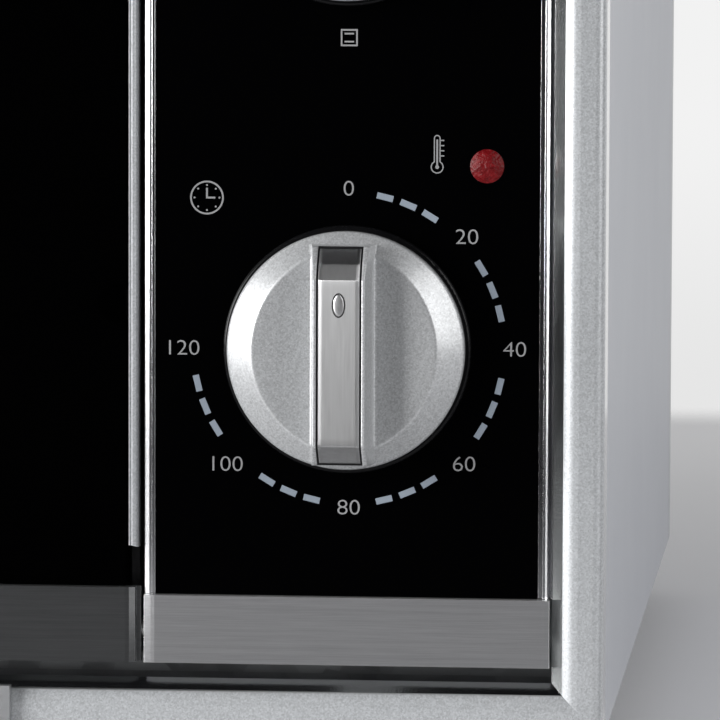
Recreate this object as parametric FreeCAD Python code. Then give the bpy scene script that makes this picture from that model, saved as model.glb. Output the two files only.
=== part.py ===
import FreeCAD, Part
import math
import os

from FreeCAD import Vector

# Electric countertop oven with a drop-down glass door and a column of three rotary controls.
# Millimetres. +Z is up, the front faces -Y, +X is to the right seen from the front.
# The origin is under the middle of the oven, on the surface that the feet stand on.

# Overall size
body_width = 480.0
body_top = 325.0
body_depth = 350.0
foot_height = 12.0
sheet = 0.8
seat_gap = 0.2
seam_gap = 0.6
slide_gap = 0.1

# How far cutting tools run past a face, how deep joined solids meet, and a hair to part two arcs
over = 1.0
lap = 1.0
hair = 0.001

# Front frame
frame_border = 9.8
frame_depth = 12.0
frame_proud = 3.0
frame_slope = 3.3
frame_skin = 2.5
frame_inner_wall = 2.0
frame_top_border = 12.0
frame_bottom_border = 13.0
frame_corner = 10.0
frame_foot_corner = 3.0
frame_edge_round = 2.0
frame_ridge_round = 4.4
frame_boss_radius = 2.8
frame_boss_space = 34.0

# Structural front plate behind the door and the control panel
plate_setback = 25.0
plate_thickness = 1.0
cavity_opening_margin = 2.0
cavity_opening_low = 48.0

# Cavity
cavity_side_space = 32.0
cavity_right_space = 112.0
cavity_ceiling_space = 36.0
cavity_depth = 276.0

# Housing and back
back_pan_depth = 11.4
back_pan_round = 1.5
vent_slot_length = 44.0
vent_slot_width = 3.0
vent_slot_pitch = 8.0
vent_slot_count = 9
side_vent_below_top = 89.0
side_vent_inset = 70.0
back_vent_length = 88.0
back_screw_side = 20.0
back_screw_end = 60.0

# Base and feet
base_vent_length = 60.0
foot_radius = 14.0
foot_tip_radius = 11.0
foot_inset_x = 34.0
foot_inset_front = 34.0
foot_inset_back = 38.0
foot_screw_radius = 2.2
foot_round = 1.0
foot_recess_radius = 5.0
foot_recess_depth = 4.0

# Crumb tray and the runners under it
runner_height = 2.0
runner_width = 10.0
runner_front_reach = 2.0
tray_slot_margin = 2.5
tray_slot_side = 1.0
tray_slot_head = 0.5
crumb_tray_height = 7.5
crumb_tray_wall = 1.0
crumb_tray_back_space = 8.0
crumb_lip_thickness = 2.2
crumb_lip_overlap = 2.0
crumb_lip_rise = 1.2
crumb_grip_width = 90.0
crumb_grip_reach = 6.0
crumb_grip_thickness = 2.0
crumb_grip_round = 3.6

# Door
door_gap = 0.8
door_to_knob = 39.4
door_floor_gap = 3.0
door_top_gap = 1.5
door_glass_thickness = 4.0
door_thickness = 18.0
door_edge_width = 2.2
door_edge_reach = 1.6
door_edge_back = 9.0
door_edge_drop = 8.0
door_edge_round = 0.92
door_glass_inset = 0.8
door_strip_height = 14.3
strip_reach = 1.8
strip_sheet = 0.8
strip_round = 1.2
window_side = 42.0
window_low = 46.0
window_high = 42.0
inner_glass_lap = 9.0
inner_glass_thickness = 3.2
door_frame_wall = 1.5
door_boss_radius = 7.0

# Hinge
hinge_height_above_edge = 6.0
hinge_behind_glass = 3.2
hinge_pin_radius = 2.0
hinge_pin_hold = 9.0
running_clearance = 0.05
hinge_lug_width = 11.0
hinge_lug_depth = 4.0
hinge_lug_side_gap = 0.4
hinge_plate_collar = 2.0
hinge_foot_width = 12.0
hinge_pin_proud = 0.3
hinge_plate_thickness = 2.0
hinge_plate_wall = 0.9
hinge_plate_side_gap = 0.3
hinge_hole_relief = 0.7
hinge_arm_radius = 54.0
hinge_arm_width = 6.0
hinge_arm_thickness = 2.0
hinge_arm_inset = 4.0
hinge_arm_end_deg = 106.0
hinge_arm_lead_deg = 4.0
hinge_arm_foot = 14.0
hinge_arm_foot_width = 7.0
hinge_arm_foot_lap = 2.0
arm_screw_head_radius = 2.8
arm_screw_head_height = 0.8
hinge_slot_margin = 1.0

# Door handle
handle_length = 300.0
handle_below_top = 21.5
handle_height = 18.0
handle_thickness = 13.0
handle_reach = 41.0
handle_round = 5.0
handle_post_inset = 22.0
handle_post_radius = 6.0
handle_screw_radius = 2.5
handle_screw_head = 4.6
handle_screw_recess = 2.6
handle_screw_depth = 6.0
handle_post_flare = 1.5

# Seal round the cavity opening
seal_width = 6.0
seal_offset = 5.0
seal_corner = 12.0

# Control column
knob_to_side = 48.6
knob_top_space = 47.4
knob_count = 3
panel_glass_left = 36.6
panel_glass_right = 36.1
panel_glass_thickness = 4.0
panel_glass_below_knob = 47.1
panel_trim_left_width = 2.1
panel_trim_right_width = 2.2
panel_trim_reach = 0.6
panel_trim_right_reach = 0.3
panel_trim_round = 0.5
panel_strip_half = 38.5
panel_strip_gap = 0.1
panel_strip_drop = 1.4
bracket_thickness = 1.5
bracket_left = 34.0
bracket_right = 35.5
bracket_end_margin = 3.0
control_hole_inset = 4.0
control_hole_low = 38.0
control_hole_top_space = 8.0
shaft_radius = 3.0
shaft_hole_radius = 3.6
shaft_inside = 10.0
shaft_flat = 0.8
shaft_end_gap = 0.3
bushing_radius = 5.0

# Knob: heights are measured from the face of the panel glass
knob_skirt_radius = 23.4
knob_skirt_low = 0.8
knob_skirt_high = 3.2
knob_radius = 22.5
knob_rim_height = 6.0
knob_rim_slope = 0.7
knob_dish_height = 7.9
knob_dish_slope = 0.093
knob_bar_height = 17.0
knob_bar_top_half = 4.75
knob_bar_foot_half = 6.8
knob_bar_flat_half = 16.9
knob_bar_end_half = 20.35
knob_bar_end_drop = 2.9
knob_bar_foot_end = 20.5
knob_bar_rim_space = 0.2
knob_insert_half = 20.1
knob_insert_width = 7.8
knob_insert_thickness = 0.8
knob_insert_gap = 0.33
knob_insert_seat = 0.02
knob_mark_offset = 9.3
knob_mark_long = 2.3
knob_mark_short = 1.27
knob_mark_line = 0.3
knob_mark_depth = 0.15
knob_hub_radius = 4.5
knob_hub_height = 12.0
knob_hub_roof = 1.0
knob_shell_wall = 2.2
knob_face_wall = 1.2
knob_skirt_round = 0.6

# Indicator lamp beside the lowest control
indicator_right = 26.1
indicator_up = 34.6
indicator_radius = 3.2
indicator_dome = 0.9
indicator_flange_radius = 4.6
indicator_flange_thickness = 0.4
indicator_body_radius = 3.9
indicator_body_length = 24.0
indicator_pocket = 2.2
indicator_tab_offset = 1.6
indicator_tab_thickness = 0.8
indicator_tab_width = 2.8
indicator_tab_length = 8.0

# Control mechanisms behind the panel
timer_size = 56.0
timer_depth = 30.0
timer_corner = 4.0
bell_radius = 21.0
bell_depth = 10.0
bell_tip_radius = 11.55
bell_gap = 0.3
bell_eye_radius = 1.4
bell_sheet = 0.8
bell_post_radius = 2.0
thermostat_radius = 20.0
thermostat_depth = 20.0
thermostat_neck_radius = 4.0
thermostat_neck_length = 6.0
thermostat_wing = 6.0
thermostat_wing_thickness = 2.0
thermostat_wing_height = 14.0
switch_size = 38.0
switch_depth = 32.0
switch_corner = 3.0
switch_tab_length = 7.0
switch_tab_width = 6.0
switch_tab_thickness = 0.8
switch_tab_column = 11.4
switch_tab_pitch = 8.55
switch_tab_rows = 4

# Heating elements
element_radius = 3.25
element_pitch = 44.0
element_runs = 6
element_end_space = 24.0
element_top_below_ceiling = 16.0
element_bottom_height = 50.0
element_front_space = 26.0
element_tail = 15.0
bushing_wall_radius = 6.5
bushing_flange_radius = 10.0
bushing_flange_thickness = 2.0
bushing_inside = 2.0
bushing_outside = 8.0
support_width = 6.0
support_gap = 0.2
support_reach = 4.0
support_height = 14.0

# Rack guides, rack and baking tray
guide_wire_radius = 2.0
guide_low = 82.0
guide_pitch = 40.0
guide_count = 4
guide_end_space = 22.0
guide_post_overrun = 10.0
guide_rail_space = 4.0
guide_stub_radius = 1.4
rack_level = 1
rack_frame_radius = 2.5
rack_bar_radius = 1.5
rack_bar_count = 13
rack_corner = 14.0
rack_bar_end_space = 4.0
rack_side_gap = 0.6
rack_brace_radius = 1.8
rack_brace_inset = 1.5
rack_seat_gap = 0.3
rack_front_space = 8.0
rack_back_space = 12.0
pan_wall = 0.8
pan_seat_gap = 0.1
pan_height = 24.0
pan_side_space = 18.0
pan_draft = 5.0
pan_rim = 6.0
pan_corner = 10.0

# Thermostat sensor in the cavity
sensor_radius = 2.5
sensor_length = 84.0
sensor_wall_gap = 8.0
sensor_lamp_gap = 2.0
sensor_front_space = 120.0
sensor_straight = 6.0
capillary_radius = 0.9
capillary_step = 12.0
capillary_lead = 26.4
capillary_bend = 7.0
sensor_clip_thickness = 1.0
sensor_clip_width = 6.0
sensor_clip_shares = (0.2, 0.8)

# Oven lamp in the cavity wall
lamp_below_ceiling = 37.0
lamp_back_space = 60.0
lamp_dome_radius = 15.0
lamp_dome_length = 24.0
lamp_wall = 1.6
lamp_ring_radius = 20.0
lamp_ring_thickness = 2.5
lamp_socket_radius = 13.0
lamp_socket_length = 32.0
lamp_socket_floor = 6.0
lamp_flange_thickness = 2.0
lamp_neck_radius = 6.3
lamp_bulb_radius = 9.0
lamp_bulb_length = 18.0

# Mains inlet and wiring
gland_side_space = 35.0
gland_height = 44.0
gland_radius = 8.0
gland_bore = 3.8
gland_outside = 12.0
gland_inside = 10.0
gland_collar_radius = 11.0
gland_collar_thickness = 3.0
block_width = 36.0
block_depth = 22.0
block_height = 17.0
block_inset = 34.0
block_hole_radius = 2.6
block_hole_inset = 6.0
block_hole_floor = 4.0
block_entry_height = 9.0
block_entry_depth = 5.0
loom_radius = 3.0
loom_height = 24.0
loom_bend = 20.0
loom_back = 46.0
clip_wall = 1.2
clip_length = 9.0
clip_foot_half = 8.0
clip_shares = (0.25, 0.7)

# Fasteners
screw_head_radius = 3.6
screw_head_height = 2.0
screw_shank_radius = 1.6
screw_shank_length = 7.0
screw_recess = 1.0
screw_crown_radius = 2.5
screw_cross_length = 4.3
screw_cross_width = 0.9
screw_end_gap = 0.3

# Places worked out from the sizes above
half_width = body_width / 2
total_depth = handle_reach - frame_proud + body_depth + gland_outside
front_y = -total_depth / 2 + handle_reach - frame_proud
back_y = front_y + body_depth
glass_y = front_y + frame_proud
frame_back_y = front_y + frame_depth
plate_y = front_y + plate_setback
plate_back_y = plate_y + plate_thickness
body_low = foot_height
base_top = body_low + sheet
opening_half = half_width - frame_border
opening_low = body_low + frame_bottom_border
opening_high = body_top - frame_top_border

knob_x = half_width - knob_to_side
door_low = opening_low + door_floor_gap
panel_strip_top = door_low + door_strip_height - panel_strip_drop
panel_low = panel_strip_top + panel_strip_gap
knob_low_z = panel_low + panel_glass_below_knob
panel_high = opening_high - door_top_gap
knob_pitch = (panel_high - knob_top_space - knob_low_z) / (knob_count - 1)
knob_heights = [knob_low_z + knob_pitch * i for i in range(knob_count)]
knob_names = ("timer", "function", "temperature")

cavity_left = -half_width + cavity_side_space
cavity_right = half_width - cavity_right_space
cavity_top = body_top - cavity_ceiling_space
cavity_back = plate_back_y + cavity_depth
guide_levels = [guide_low + guide_pitch * i for i in range(guide_count)]
lamp_height = cavity_top - lamp_below_ceiling
sensor_height = lamp_height - lamp_ring_radius - sensor_lamp_gap - sensor_clip_thickness - sensor_radius
gland_right = half_width - gland_side_space

door_left = -opening_half + door_gap
door_right = knob_x - door_to_knob
door_high = opening_high - door_top_gap
door_back_y = glass_y + door_thickness
door_glass_back_y = glass_y + door_glass_thickness
hinge_y = glass_y + hinge_behind_glass
hinge_z = door_low + hinge_height_above_edge
strip_y = glass_y - strip_reach

tray_floor = base_top + runner_height
tray_bottom = tray_floor + slide_gap
tray_left = cavity_left + tray_slot_margin
tray_right = cavity_right - tray_slot_margin


def box(x0, x1, y0, y1, z0, z1):
    return Part.makeBox(x1 - x0, y1 - y0, z1 - z0, Vector(x0, y0, z0))


def rod(start, end, radius):
    run = end - start
    return Part.makeCylinder(radius, run.Length, start, run)


def fused(shapes):
    whole = shapes[0].multiFuse(shapes[1:]) if len(shapes) > 1 else shapes[0]
    return whole.removeSplitter()


def without(shape, tools):
    return shape.cut(tools) if tools else shape


def group(shapes):
    return Part.makeCompound(shapes)


def edges_where(shape, test):
    return [edge for edge in shape.Edges if test(edge)]


def spans(edge, axis):
    bounds = edge.BoundBox
    lengths = {"x": bounds.XLength, "y": bounds.YLength, "z": bounds.ZLength}
    along = lengths.pop(axis)
    return along > 1e-6 and max(lengths.values()) < 1e-6


def near(value, target):
    return abs(value - target) < 1e-4


def prism_along_x(points, x0, x1):
    wire = Part.makePolygon([Vector(x0, y, z) for y, z in points + points[:1]])
    return Part.Face(wire).extrude(Vector(x1 - x0, 0, 0))


def tapered_block(lower, upper):
    """A solid with flat sides between two outlines of as many corners."""
    count = len(lower)
    loops = [lower, upper]
    for index in range(count):
        following = (index + 1) % count
        loops.append([lower[index], lower[following], upper[following], upper[index]])
    faces = [Part.Face(Part.makePolygon(loop + loop[:1])) for loop in loops]
    solid = Part.Solid(Part.Shell(faces))
    if solid.Volume < 0:
        solid.reverse()
    return solid


def body_block(y0, y1, inset):
    """The oven's outer section between two depths, drawn in by inset all round."""
    block = box(-half_width + inset, half_width - inset, y0, y1, body_low + inset, body_top - inset)
    top = body_top - inset
    low = body_low + inset
    block = block.makeFillet(
        frame_corner - inset,
        edges_where(block, lambda e: spans(e, "y") and near(e.BoundBox.ZMin, top)),
    )
    foot_round = frame_foot_corner - inset
    if foot_round < 0.2:
        return block
    return block.makeFillet(
        foot_round,
        edges_where(block, lambda e: spans(e, "y") and near(e.BoundBox.ZMin, low)),
    )


def bent_tube(points, radius, bend):
    """A round tube along straight runs joined by tangent arcs of one bend radius."""
    edges = []
    start = points[0]
    for before, corner, after in zip(points, points[1:], points[2:]):
        inward = (before - corner).normalize()
        outward = (after - corner).normalize()
        half = inward.getAngle(outward) / 2
        reach = bend / math.tan(half)
        middle = (inward + outward).normalize()
        centre = corner + middle * (bend / math.sin(half))
        arc_start = corner + inward * reach
        arc_end = corner + outward * reach
        if (arc_start - start).Length > 1e-6:
            edges.append(Part.LineSegment(start, arc_start).toShape())
        edges.append(Part.Arc(arc_start, centre - middle * bend, arc_end).toShape())
        start = arc_end
    if (points[-1] - start).Length > 1e-6:
        edges.append(Part.LineSegment(start, points[-1]).toShape())
    path = Part.Wire(edges)
    circle = Part.Circle(points[0], points[1] - points[0], radius)
    return path.makePipeShell([Part.Wire(circle.toShape())], True, False)


def slot_rows(origin, along, across, length, width, pitch, count, through):
    """Round-ended slots side by side, as solids to cut with; through is the vector they run along."""
    slots = []
    for index in range(count):
        centre = origin + across * (pitch * (index - (count - 1) / 2))
        half = along * (length / 2 - width / 2)
        side = across * (width / 2)
        corners = [centre - half - side, centre + half - side, centre + half + side, centre - half + side]
        tip = centre + half + along * (width / 2)
        tail = centre - half - along * (width / 2)
        outline = Part.Wire([
            Part.LineSegment(corners[0], corners[1]).toShape(),
            Part.Arc(corners[1], tip, corners[2]).toShape(),
            Part.LineSegment(corners[2], corners[3]).toShape(),
            Part.Arc(corners[3], tail, corners[0]).toShape(),
        ])
        slots.append(Part.Face(outline).extrude(through))
    return slots


def front_frame():
    frame = body_block(front_y, frame_back_y, 0)
    frame = frame.makeFillet(
        frame_edge_round,
        edges_where(frame, lambda e: near(e.BoundBox.YMin, front_y) and near(e.BoundBox.YMax, front_y)),
    )
    hole = box(-opening_half, opening_half, front_y - over, frame_back_y + over, opening_low, opening_high)
    frame = frame.cut(hole)
    rectangles = []
    for y, grow in ((front_y - frame_proud, 2 * frame_slope), (glass_y, 0)):
        rectangles.append([
            Vector(-opening_half - grow, y, opening_low - grow),
            Vector(opening_half + grow, y, opening_low - grow),
            Vector(opening_half + grow, y, opening_high + grow),
            Vector(-opening_half - grow, y, opening_high + grow),
        ])
    frame = frame.cut(tapered_block(rectangles[0], rectangles[1]))

    def on_ridge(edge):
        bounds = edge.BoundBox
        flat = near(bounds.YMin, front_y) and near(bounds.YMax, front_y)
        reach = frame_slope + over
        inside_x = max(-bounds.XMin, bounds.XMax) < opening_half + reach
        inside_z = bounds.ZMax < opening_high + reach and bounds.ZMin > opening_low - reach
        return flat and inside_x and inside_z

    frame = frame.makeFillet(frame_ridge_round, edges_where(frame, on_ridge))
    groove = body_block(glass_y, frame_back_y + over, frame_skin)
    keep = box(
        -opening_half - frame_inner_wall, opening_half + frame_inner_wall,
        front_y, frame_back_y + 2 * over,
        opening_low - frame_inner_wall, opening_high + frame_inner_wall,
    )
    frame = frame.cut(groove.cut(keep))
    boss_x = opening_half + frame_inner_wall + frame_boss_radius
    bosses = []
    low = opening_low + frame_boss_space
    high = opening_high - frame_boss_space
    for height in (low, (low + high) / 2, high):
        for side in (-1, 1):
            start = Vector(side * boss_x, glass_y - lap, height)
            bosses.append(rod(start, Vector(side * boss_x, plate_y, height), frame_boss_radius))
    frame = fused([frame] + bosses)
    slot = box(
        tray_left - tray_slot_side, tray_right + tray_slot_side, front_y - over, frame_back_y + over,
        tray_floor - seat_gap, tray_bottom + crumb_tray_height + tray_slot_head,
    )
    pin_hole = rod(
        Vector(-half_width + frame_skin, hinge_y, hinge_z),
        Vector(-opening_half + over, hinge_y, hinge_z),
        hinge_pin_radius + hinge_hole_relief,
    )
    return without(frame, [slot, pin_hole])


def housing_wrap():
    rear = back_y - back_pan_depth - seam_gap
    outer = body_block(frame_back_y, rear, 0)
    inner = body_block(frame_back_y - over, rear + over, sheet)
    below = box(-half_width + sheet, half_width - sheet, frame_back_y - over, rear + over, 0, body_top / 2)
    wrap = without(outer, [inner, below])
    slots = slot_rows(
        Vector(-half_width - over, rear - side_vent_inset, body_top - side_vent_below_top),
        Vector(0, 1, 0), Vector(0, 0, 1),
        vent_slot_length, vent_slot_width, vent_slot_pitch, vent_slot_count,
        Vector(body_width + 2 * over, 0, 0),
    )
    return without(wrap, slots)


def back_panel():
    start = back_y - back_pan_depth
    pan = body_block(start, back_y, 0)
    pan = pan.makeFillet(
        back_pan_round,
        edges_where(pan, lambda e: near(e.BoundBox.YMin, back_y) and near(e.BoundBox.YMax, back_y)),
    )
    pan = pan.cut(body_block(start - over, back_y - sheet, sheet))
    slots = []
    for side in (-1, 1):
        slots += slot_rows(
            Vector(side * half_width / 2, back_y - sheet - over, (body_low + body_top) / 2),
            Vector(1, 0, 0), Vector(0, 0, 1),
            back_vent_length, vent_slot_width, vent_slot_pitch, vent_slot_count,
            Vector(0, sheet + 2 * over, 0),
        )
    inlet = rod(
        Vector(gland_right, back_y - sheet - over, gland_height),
        Vector(gland_right, back_y + over, gland_height),
        gland_radius + running_clearance,
    )
    return without(pan, slots + [inlet])


def base_plate():
    side = half_width - sheet - seat_gap
    plate = box(-side, side, frame_back_y, back_y - back_pan_depth - seat_gap, body_low, base_top)
    front = plate_y - runner_front_reach
    rear = cavity_back - crumb_tray_back_space
    runners = []
    for x in (tray_left + runner_width, tray_right - 2 * runner_width):
        runners.append(box(x, x + runner_width, front, rear, base_top - sheet / 2, tray_floor))
    plate = fused([plate] + runners)
    slots = slot_rows(
        Vector((cavity_right + half_width) / 2, 0, body_low - over), Vector(1, 0, 0), Vector(0, 1, 0),
        base_vent_length, vent_slot_width, vent_slot_pitch, vent_slot_count, Vector(0, 0, sheet + 2 * over),
    )
    screws = [rod(Vector(x, y, body_low - over), Vector(x, y, base_top + over), foot_screw_radius)
              for x, y in foot_places()]
    return without(plate, slots + screws)


def foot_places():
    xs = (-half_width + foot_inset_x, half_width - foot_inset_x)
    ys = (front_y + foot_inset_front, back_y - foot_inset_back)
    return [(x, y) for x in xs for y in ys]


def feet():
    solids = []
    for x, y in foot_places():
        foot = Part.makeCone(foot_tip_radius, foot_radius, foot_height, Vector(x, y, 0))
        foot = foot.makeFillet(foot_round, edges_where(foot, lambda e: near(e.BoundBox.ZMax, 0)))
        recess = rod(Vector(x, y, -1), Vector(x, y, foot_recess_depth), foot_recess_radius)
        bore = rod(Vector(x, y, 0), Vector(x, y, foot_height + over), foot_screw_radius)
        solids.append(without(foot, [recess, bore]))
    return group(solids)


def front_plate():
    side = half_width - sheet - seat_gap
    top = body_top - sheet - seat_gap
    plate = box(-side, side, plate_y, plate_back_y, base_top, top)
    corner = frame_corner - sheet
    plate = plate.makeFillet(
        corner, edges_where(plate, lambda e: spans(e, "y") and near(e.BoundBox.ZMin, top))
    )
    cavity_hole = box(
        cavity_left + cavity_opening_margin, cavity_right - cavity_opening_margin,
        plate_y - over, plate_back_y + over, cavity_opening_low, cavity_top - cavity_opening_margin,
    )
    tray_hole = box(
        tray_left - tray_slot_side, tray_right + tray_slot_side, plate_y - over, plate_back_y + over,
        base_top - over, tray_bottom + crumb_tray_height + tray_slot_head,
    )
    control_hole = box(
        knob_x - bracket_left + control_hole_inset, knob_x + bracket_right - control_hole_inset,
        plate_y - over, plate_back_y + over,
        knob_low_z - control_hole_low, panel_high - control_hole_top_space,
    )
    arm_holes = []
    reach = plate_y + plate_thickness / 2 - hinge_y
    for x in hinge_arm_places():
        high = math.sqrt((hinge_arm_radius + hinge_arm_width / 2) ** 2 - (reach - plate_thickness) ** 2)
        low = math.sqrt((hinge_arm_radius - hinge_arm_width / 2) ** 2 - (reach + plate_thickness) ** 2)
        arm_holes.append(box(
            x - hinge_slot_margin, x + hinge_arm_thickness + hinge_slot_margin,
            plate_y - over, plate_back_y + over,
            hinge_z + low - hinge_slot_margin, hinge_z + high + hinge_slot_margin,
        ))
    return without(plate, [cavity_hole, tray_hole, control_hole] + arm_holes)


def element_heights():
    return (element_bottom_height, cavity_top - element_top_below_ceiling)


def element_start():
    return plate_back_y + element_front_space


def element_end_places():
    start = element_start()
    return [(y, z) for z in element_heights() for y in (start, start + element_pitch * (element_runs - 1))]


def sensor_exit():
    return plate_back_y + sensor_front_space


def sensor_start():
    return sensor_exit() + capillary_step + sensor_straight


def cavity_liner():
    outer = box(
        cavity_left - sheet, cavity_right + sheet, plate_back_y, cavity_back + sheet,
        base_top, cavity_top + sheet,
    )
    inner = box(cavity_left, cavity_right, plate_back_y - over, cavity_back, base_top - over, cavity_top)
    holes = []
    for y, z in element_end_places():
        holes.append(rod(
            Vector(cavity_right - over, y, z), Vector(cavity_right + sheet + over, y, z),
            bushing_wall_radius + running_clearance,
        ))
    holes.append(rod(
        Vector(cavity_right - over, cavity_back - lamp_back_space, lamp_height),
        Vector(cavity_right + sheet + over, cavity_back - lamp_back_space, lamp_height),
        lamp_socket_radius + running_clearance,
    ))
    holes.append(rod(
        Vector(cavity_right - over, sensor_exit(), sensor_height),
        Vector(cavity_right + sheet + over, sensor_exit(), sensor_height),
        capillary_radius + seat_gap,
    ))
    return without(outer, [inner] + holes)


def rack_guide(side):
    wall = cavity_left if side < 0 else cavity_right
    post_x = wall - side * guide_wire_radius
    rail_x = wall - side * 3 * guide_wire_radius
    front = plate_back_y + guide_end_space
    rear = cavity_back - guide_end_space
    low = guide_levels[0] - guide_post_overrun
    high = guide_levels[-1] + guide_post_overrun
    pieces = []
    for y in (front, rear):
        pieces.append(rod(Vector(post_x, y, low), Vector(post_x, y, high), guide_wire_radius))
    for level in guide_levels:
        start = Vector(rail_x, plate_back_y + guide_rail_space, level)
        end = Vector(rail_x, cavity_back - guide_rail_space, level)
        pieces.append(rod(start, end, guide_wire_radius))
        for y in (front, rear):
            post = Vector(post_x, y, level)
            pieces.append(rod(post, Vector(rail_x, y, level), guide_stub_radius))
    return fused(pieces)


def heating_element(height):
    """A sheathed rod bent to and fro, with both ends through the right wall."""
    left = cavity_left + element_end_space
    right = cavity_right - element_end_space
    bend = element_pitch / 2 - hair
    y = element_start()
    tail = cavity_right + element_tail
    points = [Vector(tail, y, height)]
    for run in range(element_runs - 1):
        x = left if run % 2 == 0 else right
        points.append(Vector(x, y, height))
        y += element_pitch
        points.append(Vector(x, y, height))
    points.append(Vector(tail, y, height))
    return bent_tube(points, element_radius, bend)


def element_bushings():
    rings = []
    for y, z in element_end_places():
        inner = cavity_right - bushing_inside
        outer = cavity_right + sheet + bushing_outside
        body = rod(Vector(inner, y, z), Vector(outer, y, z), bushing_wall_radius)
        flange = rod(
            Vector(cavity_right + sheet, y, z),
            Vector(cavity_right + sheet + bushing_flange_thickness, y, z),
            bushing_flange_radius,
        )
        bore = rod(
            Vector(inner - over, y, z), Vector(outer + over, y, z), element_radius + running_clearance
        )
        rings.append(fused([body, flange]).cut(bore))
    return group(rings)


def element_supports():
    """Bent straps that carry the far bends of both elements."""
    straps = []
    reach = cavity_left + element_end_space + support_reach
    for height, edge in zip(element_heights(), (1, -1)):
        for index in range(element_runs // 2):
            y = element_start() + element_pitch * (2 * index + 0.5)
            low = height - element_radius - support_gap - sheet
            shelf = box(cavity_left, reach, y - support_width / 2, y + support_width / 2, low, low + sheet)
            back = box(
                cavity_left, cavity_left + sheet, y - support_width / 2, y + support_width / 2,
                low, low + support_height,
            )
            straps.append(fused([shelf, back]))
    return group(straps)


def door_seal():
    """A flat-faced silicone ring round the cavity opening."""
    def ring_block(grow):
        block = box(
            cavity_left - seal_offset - grow, cavity_right + seal_offset + grow,
            door_back_y + seat_gap, plate_y,
            cavity_opening_low - seal_offset - grow, cavity_top + seal_offset + grow,
        )
        return block.makeFillet(seal_corner + grow, edges_where(block, lambda e: spans(e, "y")))
    return ring_block(seal_width / 2).cut(ring_block(-seal_width / 2))


def hinge_arm_places():
    left = door_left + hinge_arm_inset
    right = door_right - hinge_arm_inset - hinge_arm_thickness
    return (left, right)


def hinge_plate_places():
    left = -opening_half - frame_inner_wall - hinge_plate_side_gap - hinge_plate_thickness
    right = knob_x - panel_strip_half + strip_sheet + hinge_plate_side_gap
    return (left, right)


def hinge_brackets():
    plates = []
    low = hinge_z - hinge_pin_radius - hinge_plate_collar
    high = hinge_z + hinge_pin_radius + hinge_plate_collar
    for x in hinge_plate_places():
        plate = box(
            x, x + hinge_plate_thickness, hinge_y - hinge_pin_radius - hinge_plate_wall, plate_y,
            low, high,
        )
        foot = box(
            x, x + hinge_foot_width, plate_y - hinge_plate_thickness, plate_y, low, high,
        )
        hole = rod(
            Vector(x - over, hinge_y, hinge_z), Vector(x + hinge_plate_thickness + over, hinge_y, hinge_z),
            hinge_pin_radius + running_clearance,
        )
        plates.append(fused([plate, foot]).cut(hole) if x > 0 else plate.cut(hole))
    return group(plates)


def panel_glass():
    glass = box(
        knob_x - panel_glass_left, knob_x + panel_glass_right, glass_y, glass_y + panel_glass_thickness,
        panel_low, panel_high,
    )
    holes = []
    for z in knob_heights:
        holes.append(rod(
            Vector(knob_x, glass_y - over, z), Vector(knob_x, glass_y + panel_glass_thickness + over, z),
            shaft_hole_radius,
        ))
    lamp = Vector(knob_x + indicator_right, glass_y, knob_low_z + indicator_up)
    holes.append(rod(
        lamp - Vector(0, over, 0), lamp + Vector(0, panel_glass_thickness + over, 0),
        indicator_radius + running_clearance,
    ))
    return without(glass, holes)


def panel_side_trims():
    back = glass_y + panel_glass_thickness
    left = box(
        knob_x - panel_glass_left - panel_trim_left_width, knob_x - panel_glass_left,
        glass_y - panel_trim_reach, back, panel_low, panel_high,
    )
    left = left.makeFillet(panel_trim_round, edges_where(
        left, lambda e: spans(e, "z") and near(e.BoundBox.YMin, glass_y - panel_trim_reach)
        and near(e.BoundBox.XMin, knob_x - panel_glass_left - panel_trim_left_width)
    ))
    right = box(
        knob_x + panel_glass_right, knob_x + panel_glass_right + panel_trim_right_width,
        glass_y - panel_trim_right_reach, back, panel_low, panel_high,
    )
    return group([left, right])


def folded_strip(x0, x1, z0, z1):
    """A brushed cover strip folded back along its ends, bottom and top."""
    back = glass_y + panel_glass_thickness
    strip = box(x0, x1, strip_y, back, z0, z1)
    strip = strip.makeFillet(strip_round, edges_where(
        strip, lambda e: spans(e, "z") and near(e.BoundBox.YMin, strip_y)
    ))
    hollow = box(
        x0 + strip_sheet, x1 - strip_sheet, strip_y + strip_sheet, back + over,
        z0 + strip_sheet, z1 - strip_sheet,
    )
    return strip.cut(hollow)


def pin_relief():
    """The clear way that the hinge pins need through the strips' folded ends."""
    return rod(
        Vector(-half_width, hinge_y, hinge_z), Vector(half_width, hinge_y, hinge_z),
        hinge_pin_radius + hinge_hole_relief,
    )


def panel_bottom_strip():
    strip = folded_strip(
        knob_x - panel_strip_half, knob_x + panel_strip_half - panel_strip_gap, door_low, panel_strip_top
    )
    relief = rod(
        Vector(knob_x - panel_strip_half - over, hinge_y, hinge_z), Vector(knob_x, hinge_y, hinge_z),
        hinge_pin_radius + hinge_hole_relief,
    )
    plate_x = hinge_plate_places()[1]
    room = box(
        plate_x - hinge_plate_side_gap, plate_x + hinge_plate_thickness + hinge_plate_side_gap,
        strip_y + strip_sheet, plate_y, door_low + strip_sheet, panel_strip_top - strip_sheet,
    )
    return without(strip, [relief, room])


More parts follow.
